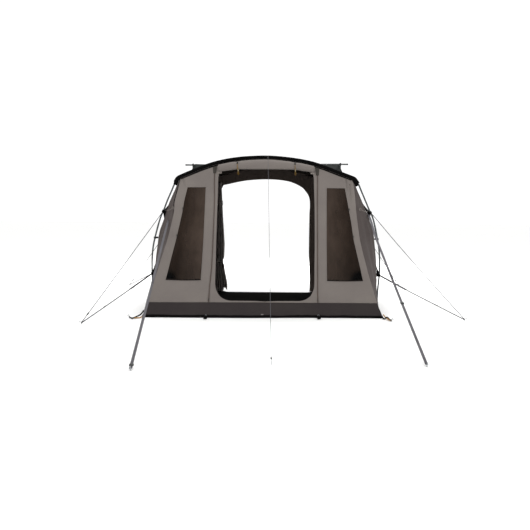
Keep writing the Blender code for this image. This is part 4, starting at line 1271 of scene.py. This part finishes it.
def makePoles(end, y):
    bow = sweep(f"{end}RoofBow", resample(archPath(y, 1.7), .015), poleHalf, darkPole, vary=ferrules)
    settle(bow, "dark_pole", f"{end}_roof_bow")
    leg = [(legX(poles["legTop"]), poles["legTop"]), *(p for p in smoothChain(tent["leg"], 6) if p[1] < 1.69)]
    for side, sign in sides:
        path = resample([(sign * x, y, z) for x, z in leg], .015)
        tube = sweep(f"{end}Leg{side.title()}", path, poleHalf, darkPole, vary=ferrules)
        settle(tube, "dark_pole", f"{end}_leg_{side}")


def makeKnob(sign, y, z):
    path = [(sign * (poles["knobX"] + along), y, z) for along, _ in poles["knob"]]
    knob = sweep("knob", path, (1, 1), moulded, count=30)
    for n, point in enumerate(knob.data.vertices):
        i, k = divmod(n, 30)
        a = math.tau * (k + .5) / 30
        ribbed = poles["knobRadius"] * poles["knob"][i][1] * (1 - .05 * (k % 3 == 0))
        point.co = (path[i][0], y + ribbed * math.sin(a), z + ribbed * math.cos(a))
    faceOutward(knob.data, lambda _: Vector(path[3]))
    return knob


def makeCrossPole(y, z):
    half, radius = poles["crossHalf"], poles["crossRadius"]
    tube = resample([(-half, y, z), (half, y, z)], .012)
    parts = [sweep("crossPoleTube", tube, (radius, radius), alloy, count=24)]
    for _, sign in sides:
        parts.append(makeKnob(sign, y, z))
        cap = resample([(sign * (half - .02), y, z), (sign * (half - .0004), y, z)], .004)
        parts.append(sweep("poleCap", cap, (radius * 1.08, radius * 1.08), moulded, count=24))
    joinPieces("tunnelCrossPole", parts, "alloy_pole", "tunnel_cross_pole")


def makeUpright(side, sign, y, z):
    top, radius = z - poles["knobRadius"] - .0003, poles["crossRadius"]
    path = resample([(sign * poles["knobX"], y, 0), (sign * poles["knobX"], y, top)], .02)
    tube = sweep(f"tunnelUpright{side.title()}", path, (radius, radius), darkPole, count=20,
                 vary=lambda run, _: 1.08 if .9 < run < .98 or run < .03 else 1.0)
    settle(tube, "dark_pole", f"tunnel_upright_{side}")


def makeRailStrip(y, z):
    half, behind = poles["railHalf"], poles["crossRadius"] + .0033
    rows = grid(80, 4, lambda u, v: (half * (2 * u - 1), y + behind, z + .015 * (2 * v - 1)))
    strip = clothPiece("railStrip", rows, tunnelCloth, "tunnel_cloth", "rail_strip", thickMm=3.0,
                       middle=(0, 0, 2.2))
    path = resample([(-half, y + .0174, z + .0110), (half, y + .0174, z + .0110)], .05)
    bead = settle(sweep("railBead", path, (.0045, .0040), moulded, count=14), "tunnel_cloth")


for endName, archY in ends:
    makePoles(endName, archY)
makeCrossPole(tent["backPole"], tunnel["top"])
for sideName, sideSign in sides:
    makeUpright(sideName, sideSign, tent["backPole"], tunnel["top"])
makeRailStrip(tent["backPole"], tunnel["top"])

# cloth triangles that hold the walls to the poles, and their clips
gussets = {
    "upper": (1.235, 1.455, 1.338), "lower": (.45, .60, .468),  # the heights of foot, top and clip
    "nose": {"upper": (0, .026), "lower": (.014, .036)}, "waist": .04, "gap": .0006, "thickMm": 3.0,
    "ring": .0142,
}


def legHeading(z, sign):
    return Vector((sign * (legX(z + .02) - legX(z - .02)), 0, .04)).normalized()


def makeGusset(end, y, level, side, sign):  # the triangle, and its clip, which it gives back
    foot, top, clip = gussets[level]
    lift, nose = gussets["nose"][level]

    def place(v, u):  # v along the wall, u from the wall to the leg
        z0, z1 = blend(foot, top, v), clip + lift + nose * (2 * v - 1)
        slope = (legX(z1 - .02) - legX(z1 + .02)) / .04
        inside = gussets["gap"] + poles["radius"] * math.hypot(1, slope)
        x0, x1 = wallX(z0) + gussets["gap"], legX(z1) - inside
        free = math.sin(math.pi * u)
        z = blend(z0, z1, min(1, u + gussets["waist"] * free))
        return sign * blend(x0, x1, u), y - .0045 + .0035 * math.sin(v * 9) * free, z

    rows = grid(12, 12, place)
    cloth = clothPiece(f"{end}{level.title()}Gusset{side.title()}", rows, blackWebbing, "black_webbing",
                       f"{end}_{level}_gusset_{side}", thickMm=gussets["thickMm"], middle=(0, y + 2, 1))
    hangCloth(rows, area=flatSize(rows)[2] * .85)
    axis, centre = legHeading(clip, sign), Vector((sign * legX(clip), y, clip))
    out = axis.cross(Vector((0, 1, 0))).normalized() * sign
    ring = ringPath(centre, out * gussets["ring"], (0, -gussets["ring"], 0), 24, 30, 300)
    return sweep("hook", ring, (.0034, .017), blackWebbing, axis, 12, .5)


clips = [makeGusset(endName, archY, level, sideName, sideSign)
         for endName, archY in ends for level in ("upper", "lower") for sideName, sideSign in sides]
joinPieces("poleClips", clips, "dark_pole")
print("poles and gussets made")

# elastic ties of the rolled door, and the curtain's band
ties = {"cord": .0032, "thin": .0028, "toggle": (.0095, .0080), "bead": (.0105, .009), "band": (.0012, .007),
        "drift": {"left": .0016, "right": .0005}, "beadAt": 72, "endAt": 112}


def makeTie(side, sign):
    x, cord, thin = sign * roll["tieX"], ties["cord"], ties["thin"]
    loop = [rollPlace(x, math.tau * t, .0034) for t in shares(40)]
    band = sweep("band", resample(loop, .006), (cord, cord), tieCord, (1, 0, 0), 12)
    top = rollPlace(x, math.radians(ties["endAt"]), .0075)
    drop = [top + Vector((ties["drift"][side] * k, -.0004 * k, -.0068 * k)) for k in range(9)]
    short = sweep("short", drop, (thin, thin), tieCord, (1, 0, 0), 12)
    low = drop[-1]
    path = resample([low + Vector((0, 0, .016)), low - Vector((0, 0, .016))], .0016)
    toggle = sweep("toggle", path, ties["toggle"], tan, (1, 0, 0), 18,
                   vary=lambda run, _: .55 + .45 * math.sin(max(.08, min(.92, run / .032)) * math.pi)**.5)
    middle = rollPlace(x, math.radians(ties["beadAt"]), .007)
    path = [middle + Vector((0, 0, d)) for d in (-.016, -.013, 0, .013, .016)]
    bead = sweep("bead", path, ties["bead"], moulded, (1, 0, 0), 14,
                 vary=lambda run, _: .55 if run < .001 or run > .0315 else 1.0)
    hang = [low + Vector((.0085 * math.sin(math.tau * t) + .004 * math.sin(math.pi * t), -.001,
                          -.014 - .044 * math.sin(math.pi * t))) for t in shares(24)]
    end = sweep("loopEnd", hang, (thin, thin), tieCord, (0, 1, 0), 12)
    joinPieces(f"doorTie{side.title()}", [band, short, toggle, bead, end], "tie_cord", f"door_tie_{side}")


def makeCurtainTie():
    half, grow = curtain["waistHalf"], .0035
    deep, y = half * curtain["share"], tent["rearArch"] - curtain["ahead"]
    loop = []
    for a in (math.tau * t for t in shares(48)):
        loop.append((curtain["waistX"] + (half + grow) * math.cos(a),
                     y - deep + (deep + grow - .001) * math.sin(a),
                     curtain["waist"] + .002 * math.sin(3 * a)))
    band = sweep("curtainTie", loop, ties["band"], curtainClothPaintedLight, (0, 0, 1), 10, .4)
    settle(band, "black_webbing", "curtain_tie")


for sideName, sideSign in sides:
    makeTie(sideName, sideSign)
makeCurtainTie()
print("ties made")

# stays: guy cords, straps, their sliders and pegs
stays = {
    "frontPegs": ((-2.168, -0.53), (2.50, -0.13)), "rearPegs": ((-2.456, 2.95), (2.436, 3.13)),
    "stormPegs": ((-1.117, -2.43), (1.429, -2.235)), "centrePeg": (.069, -2.214),
    "stormLeft": (-1.330, -.556, 1.215), "apexX": .024, "apexZ": 2.089, "aim": .013,
    "cord": .0043, "thickCord": .00645, "thinCord": .0021,
    "strap": (.0013, .011), "storm": (.0138, .0013), "pegRadius": .0034,
}
upward = Vector((0, 0, 1))


def makePeg(place, away):  # a steel rod peg with its hooked head turned away from the tent
    foot, away = Vector(place), Vector(away).normalized()
    path = [foot + upward * .0005 - away * .004, foot + upward * .028]
    path += ringPath(foot + away * .009 + upward * .031, away * -.009, upward * .0105, 10, 0, 180)
    path.append(path[-1] - upward * .008)
    half = (stays["pegRadius"], stays["pegRadius"])
    return sweep("peg", resample(path, .003), half, steel, away.cross(upward), 12)


def makeRunner(line, at, size):  # the plastic slider that tightens a line
    start, heading = line[0], (line[-1] - line[0]).normalized()
    centre = start + heading * (line[-1] - line[0]).length * at
    path = [centre + heading * size[2] * d for d in (-1, -.92, -.5, 0, .5, .92, 1)]
    return sweep("runner", path, size[:2], moulded, (0, 0, 1), 16, .7,
                 vary=lambda run, _: .7 if run < .0004 or run > size[2] * 1.99 else 1)


def makeCord(line, radius, finish=guyCord, reference=(0, 0, 1), count=10):
    return sweep("cord", line, (radius, radius), finish, reference, count)


def makeStrap(line, half):
    return sweep("strap", line, half, strapWeave, (0, 0, 1), 12, .35)


def taut(start, end, sag=.004):
    return [blend(start, end, t) - Vector((0, 0, sag * math.sin(math.pi * t))) for t in shares(24)]


def pegPlace(spot):
    return Vector((spot[0], tent["front"] + spot[1], 0))


def makeGuys(end, y, pegs):
    for (side, sign), spot in zip(sides, pegs):
        foot = pegPlace(spot)
        tip = foot + upward * stays["aim"]
        parts = [makePeg(foot, (foot.x, foot.y - y, 0))]
        for level in ("upper", "lower"):
            clip = gussets[level][2]
            onPole = Vector((sign * legX(clip), y, clip))
            heading = (tip - onPole).normalized()
            line = taut(onPole + heading * .0150, tip - heading * .006)
            if level == "upper":
                runnerAt = .02 if end == "front" and side == "right" else .93
                parts.append(makeCord(line, stays["cord"]))
            else:  # a strap down to its slider, and a cord from there
                runnerAt = .70
                parts += [makeStrap(line[:9], stays["strap"]), makeCord(line[8:], stays["thickCord"]),
                          makeRunner(line, .338, (.013, .003, .012))]
            parts.append(makeRunner(line, runnerAt, (.011, .0042, .020)))
        joinPieces(f"{end}Guys{side.title()}", parts, "guy_line", f"{end}_guys_{side}")


def makeStormStrap(side, sign, spot):
    clip, (half, thick) = gussets["upper"][2] - .025, stays["storm"]
    foot = pegPlace(spot)
    tip = foot + upward * stays["aim"]
    start = Vector((sign * (wallX(clip) + .0146), tent["frontArch"] - .006, clip))
    if side == "left":
        start = Vector(stays["stormLeft"])
    heading = (tip - start).normalized()
    reach = (thick * abs(heading.z) + half * abs(heading.x) + .0006) / abs(heading.y)
    line = taut(start + heading * reach, tip - heading * .012, .006)
    over = [p + upward * .0032 for p in line[1:14]]  # the strap's free end, folded back on itself
    ring = ringPath(tip - heading * .012, (.012, 0, 0), (0, .012, 0), 20)
    parts = [makePeg(foot, (foot.x - start.x, foot.y - start.y, 0)), makeStrap(line, (half, thick)),
             makeStrap(over, (half * .96, thick)),
             makeRunner(line, .695 if side == "right" else .985, (.020, .0048, .014)),
             sweep("ring", ring, (.0018, .0018), steel, (0, 0, 1), 8, closed=False)]
    joinPieces(f"stormStrap{side.title()}", parts, "guy_line", f"storm_strap_{side}")


def makeCentreGuy():
    foot = pegPlace(stays["centrePeg"])
    tip = foot + upward * stays["aim"]
    start = Vector((stays["apexX"], tent["frontArch"] - .0165, stays["apexZ"]))
    heading = (tip - start).normalized()
    line = taut(start + heading * .004, tip - heading * .006, .006)
    parts = [makePeg(foot, (0, -1, 0)), makeCord(line, stays["thinCord"], reference=(1, 0, 0)),
             makeRunner(line, .985, (.007, .0035, .010))]
    joinPieces("centreGuy", parts, "guy_line", "centre_guy")


for endName, archY in ends:
    makeGuys(endName, archY, stays[f"{endName}Pegs"])
for (sideName, sideSign), pegSpot in zip(sides, stays["stormPegs"]):
    makeStormStrap(sideName, sideSign, pegSpot)
makeCentreGuy()
print("stays made")

# small sewn-on and pegged pieces
extras = {
    "midStrap": .968, "pegLoops": (("Left", -.740), ("Right", .681)), "tag": (-.034, .040),
    "tab": (1.248, -.575, 1.380), "toggleHeights": (1.375, 1.017), "keeper": (.606, .662, 1.906, 1.856),
    "curtainTab": (-.728, .05, 1.478),
    # elastic loops from each corner of the floor: their radius, and the peg and two cords of each
    "cordRadius": .0072,
    "frontLeft": ((-1.700, -1.270), (
        (-1.517, -1.180, .092), (-1.552, -1.195, .045), (-1.602, -1.24, .020), (-1.64, -1.30, .012)), (
        (-1.531, -1.19, .016), (-1.560, -1.255, .012), (-1.607, -1.27, .012), (-1.65, -1.29, .010))),
    "frontRight": ((1.566, -1.385), (
        (1.506, -1.165, .046), (1.525, -1.22, .022), (1.542, -1.30, .014), (1.556, -1.35, .012)), (
        (1.493, -1.185, .012), (1.505, -1.265, .014), (1.540, -1.235, .028), (1.556, -1.33, .014))),
    "rearLeft": ((-1.68, 1.26), ((-1.560, 1.165, .05), (-1.59, 1.19, .03), (-1.64, 1.23, .012)), (
        (-1.558, 1.160, .012), (-1.60, 1.215, .010), (-1.645, 1.235, .010))),
    "rearRight": ((1.68, 1.26), ((1.560, 1.165, .05), (1.59, 1.19, .03), (1.64, 1.23, .012)), (
        (1.558, 1.160, .012), (1.60, 1.215, .010), (1.645, 1.235, .010))),
}


def makeMidStraps():  # a short strap with a ring round each leg, halfway between the gussets
    z, parts = extras["midStrap"], []
    for _, y in ends:
        for _, sign in sides:
            axis, centre = legHeading(z, sign), Vector((sign * legX(z), y, z))
            out = axis.cross(Vector((0, 1, 0))).normalized() * sign
            ring = ringPath(centre, out * .0145, (0, .0145, 0), 24)
            parts.append(sweep("ring", ring, (.003, .0105), moulded, axis, 12, .5))
            reach = resample([(sign * (wallX(z) + .002), y, z + .004), centre - out * .0165], .006)
            parts.append(sweep("strap", reach, (.0022, .0125), blackWebbing, axis, 12, .4))
    joinPieces("midStraps", parts, "black_webbing")


def makeSideTabs():  # a pale tab beside the front seam, with a thin cord to the upper clip
    parts = []
    x, y, z = extras["tab"]
    for _, sign in sides:
        start = Vector((sign * (x + .012), y, z))
        middle = start + Vector((sign * -.004, -.004, 0))
        loop = ringPath(middle, (sign * .014, 0, 0), (0, 0, .017), 20, 20, 250)
        parts.append(sweep("tab", loop, (.0022, .0080), paleWeave, (0, 1, 0), 12, .5))
        clip = Vector((sign * (legX(1.35) - .03), tent["frontArch"] - .008, 1.352))
        parts.append(makeCord(taut(start, clip, .012), .0021, paleWeave, count=8))
    joinPieces("sideTabs", parts, "tie_cord")


def makePegLoop(name, x):  # a webbing loop under the front hem, held by a peg with a bright head
    foot = skirtPlace(x, .004, .004)
    path = [skirtPlace(x, .034, .0048), skirtPlace(x, .018, .0062)]
    path += [foot + Vector((0, y, z)) for y, z in (
        (-.010, .004), (-.070, .0010), (-.104, .005), (-.090, .019), (-.020, .026))]
    ring = ringPath(skirtPlace(x, .030, .0075), (.0095, 0, 0), (0, 0, .0085), 20)
    head = foot + Vector((0, -.080, 0))
    rod = resample([head + upward * .0005, head + upward * .012], .003)
    parts = [sweep("loop", resample(smoothPath(path), .004), (.0016, .0200), blackWebbing, (1, 0, 0), 14, .4),
             sweep("ring", ring, (.0022, .0022), steel, (0, 1, 0), 8, closed=False),
             sweep("peg", rod, (.0075, .0075), steel, (0, 1, 0), 16)]
    joinPieces(f"pegLoop{name}", parts, "black_webbing")


def makeTag():  # the small bare tag on the skirt, and the loop on the sleeve at the apex
    x, z = extras["tag"]
    rows = grid(8, 4, lambda u, v: skirtPlace(x + .016 * (2 * u - 1), z + .0065 * (2 * v - 1), .0016))
    tag = clothPiece("skirtTag", rows, tagWeave, "front_cloth", thickMm=.6)
    flatSize(rows)[:2]
    x, y = stays["apexX"], tent["frontArch"] - sleeve["halfWidth"]
    path = resample([(x, y - .003, 2.099), (x, y - .007, 2.088), (x, y - .003, 2.070)], .003)
    settle(sweep("apexLoop", path, (.010, .0012), patchCloth, (0, 0, 1), 10, .4), "black_webbing")


def makeCorner(end, side):  # of the front corners' cords, one each is thick and black
    (x, y), *cords = extras[end + side.title()]
    away = Vector((x, y, 0))
    parts = [makePeg(away, away)]
    for number, cord in enumerate(cords):
        path = smoothPath([*cord, (x - .004 * away.normalized().x, y, .018)])
        dark = end == "front" and number == (0 if side == "left" else 1)
        radius = extras["cordRadius"] * (1.25 if dark else 1.0)
        parts.append(makeCord(resample(path, .006), radius, blackWebbing if dark else tanCord))
    joinPieces(f"{end}Corner{side.title()}", parts, "tie_cord")


def makeWindowTrim(side, sign):  # the blind stowed along the window's foot, and two small toggles
    def place(u, v):
        x = blend(face["windowInner"], face["outerFoot"] - .002, u)
        high = .012 + .003 * math.sin(u * 7 + 1) + .003 * grain(u * 6, 1, 1, 1.7)
        z = face["windowFoot"] - .001 - .005 * math.sin(math.pi * u) + high * v
        return frontPlace(sign * x, z, .0008 + .003 * math.sin(math.pi * v))

    blind = clothPiece(f"windowBlind{side.title()}", grid(40, 6, place), blindCloth, "inner_cloth",
                       thickMm=1.0)
    parts = []
    for z in extras["toggleHeights"]:
        spot = frontPlace(sign * (windowOuter(z) + .004), z, .003)
        path = [spot + Vector((sign * d * .45, 0, d)) for d in (-.012, -.010, 0, .010, .012)]
        parts.append(sweep("toggle", path, (.0055, .0045), moulded, (0, 1, 0), 12))
    joinPieces(f"windowToggles{side.title()}", parts, "black_webbing")


def makeRollKeeper(side, sign):  # a pale keeper sewn at the end of the rolled door
    near, far, top, low = extras["keeper"]

    def place(u, v):
        x, z = sign * blend(near, far, u), blend(top, low, v)
        front = onFace(x, z, .016 - .012 * v**2 + .0025 * math.sin(u * 7.2))
        return Vector((x, front.y, z - .004 * u))

    rows = grid(8, 6, place)
    keeper = clothPiece(f"rollKeeper{side.title()}", rows, paleWeave, "front_cloth", thickMm=1.2)
    flatSize(rows)[:2]


def makeCurtainTab():
    x, ahead, z = extras["curtainTab"]
    loop = ringPath(Vector((x, tent["rearArch"] - ahead, z)), (.010, 0, 0), (0, 0, .038), 24)
    settle(sweep("curtainTab", loop, (.0045, .0080), paleWeave, (0, 1, 0), 10), "inner_cloth")


makeMidStraps()
makeSideTabs()
for loopName, loopX in extras["pegLoops"]:
    makePegLoop(loopName, loopX)
makeTag()
for endName, _ in ends:
    for sideName, _ in sides:
        makeCorner(endName, sideName)
for sideName, sideSign in sides:
    makeWindowTrim(sideName, sideSign)
for sideName, sideSign in sides:
    makeRollKeeper(sideName, sideSign)
makeCurtainTab()
print("small pieces made")

# a pitched tent stands a little unevenly, so every place moves slightly to where the photo shows it:
# how far it moves, and the height of each such value
uneven = {
    "rightWall": ((.006, 0), (.008, .25), (.018, .40), (.014, .50), (.022, .60), (.018, .78), (.015, .97),
                  (.027, 1.2), (.027, 2.2)),
    "leftWall": ((0, 0), (0, .25), (.010, .40), (.017, .58), (.008, .75), (0, .93), (0, 2.2)),
    "rightLeg": ((-.008, 0), (-.007, .25), (.004, .42), (.008, .50), (.007, .6), (.009, .78), (.013, .97),
                 (.020, 1.12), (.027, 1.25), (.027, 2.2)),
    "leftAhead": .06, "leftOut": .008, "leftArch": .010, "tunnelDrop": .030, "rearDoor": .021,
    # this one goes by the place across
    "roof": ((.010, -1.35), (.012, -1.2), (.022, -1.06), (.030, -.853), (.024, -.645), (.013, -.367),
             (.007, -.16), (.006, .02), (.004, .26), (.008, .467), (.016, .745), (.015, .95), (.012, 1.2),
             (.010, 1.35)),
    "zipLeft": ((-.012, .2), (-.006, .4), (.008, .6), (.011, 1.0), (.012, 1.5), (0, 1.75)),
    "zipRight": ((-.028, .2), (-.028, .33), (-.019, .93), (-.012, 1.45), (-.004, 1.75)),
    "doorLeft": ((0, .15), (.008, .3), (.006, .5), (0, .9), (0, 1.75)),
    "doorRight": ((0, .15), (-.013, .3), (-.008, .6), (0, .9), (.004, 1.4), (0, 1.75)),
    "windowLeft": ((-.008, .2), (-.009, .45), (-.002, .9), (0, 1.2), (0, 1.75)),
    "windowRight": ((-.018, .2), (-.020, .45), (-.013, .93), (-.002, 1.4), (.006, 1.66), (0, 1.8)),
    "outerLeft": ((0, .2), (0, 1.75)),
    "outerRight": ((0, .2), (-.007, .45), (-.010, .6), (-.020, .97), (-.015, 1.25), (-.006, 1.6), (0, 1.75)),
}
roofLift = smoothChain(uneven["roof"], 6)


def frontDrift(side, across, z):  # how far the front's edges lean aside: doorway, zip, window
    outer = windowOuter(z)
    marks = ((.56, None), (.645, "door"), (.695, "zip"), (.715, "zip"), (.815, "window"), (outer, "outer"),
             (outer + .09, None))
    shifts = [(at, alongChain(uneven[name + side], z) if name else 0.0) for at, name in marks]
    for (a, one), (b, two) in zip(shifts, shifts[1:]):
        if a <= across <= b:
            return blend(one, two, (across - a) / (b - a))
    return 0.0


def stand(p, corner=True):
    x, y, z = p
    x0, behind = x, y - tent["front"]
    if x > 0 and y < 1:  # the right wall and leg
        wallAt, legAt = wallX(min(z, 1.77)), legX(min(z, 1.78)) - .011
        onLeg = ease((x - wallAt) / max(.02, legAt - wallAt))
        shift = blend(alongChain(uneven["rightWall"], z), alongChain(uneven["rightLeg"], z), onLeg)
        shift *= ease((x - .93) / .24) * ease(behind / .65) * ease((1 - y) / .8)
        x += shift * blend(1, .55, ease((z - 1.70) / .07) * ease((1.3 - x) / .06))
    if x < -1.2 and y < 1 and z < 1:  # the left wall's lower part
        legAt, wallAt = legX(z) - .011, wallX(z)
        near = ease((legAt + x) / max(.02, legAt - wallAt)) * ease((y + .95) / .3) * ease((.6 - y) / .8)
        x -= alongChain(uneven["leftWall"], z) * near
    if x < -.93 and y < 1 and z > 1.3:  # the arch's left end
        near = ease((z - 1.3) / .2) * ease((-.93 - x) / .24) * ease(behind / .5) * ease((1 - y) / .8)
        x -= uneven["leftArch"] * near
    if corner and -1.75 < x < 0 and -2.2 < y < -.75:  # the left front corner
        near = ease(-x / 1.4) * ease((-.75 - y) / .4) * ease((1.75 + x) / .15) * ease((y + 2.2) / .6)
        x, y = x - uneven["leftOut"] * near, y - uneven["leftAhead"] * near
    if z > 1.6 and y < .7 and abs(x0) < 1.36:  # the roof line
        z += alongChain(roofLift, x0) * ease((z - roofLine(x0) + .15) / .11) * ease((.7 - y) / .8)
    if .56 < abs(x0) < 1.4 and tent["front"] - .1 < y < -.4 and z > .18:
        x += frontDrift("Left" if x0 < 0 else "Right", abs(x0), z)
    if .5 < x0 < 1 and 1.1 < y < 1.2:  # the rear doorway's right edge
        near = ease((.25 - abs(x0 - .745)) / .22) * ease((z - .2) / .5) * ease((1.6 - z) / .3)
        x -= uneven["rearDoor"] * near
    if y > 1.3:  # the tunnel, lower to the left
        share = .5 * (1 - max(-1, min(1, x / 1.31)))
        z -= uneven["tunnelDrop"] * share * ease((y - 1.3) / .5) * min(1, z / 2.1)
    return x, y, z


for piece in bpy.data.objects:
    if piece.type == "MESH" and piece not in loaded and piece.name != "studioFloor":
        for vertex in piece.data.vertices:
            vertex.co = stand(vertex.co, piece.name != "stormStrapLeft")
        piece.data.update()
print("tent stood")
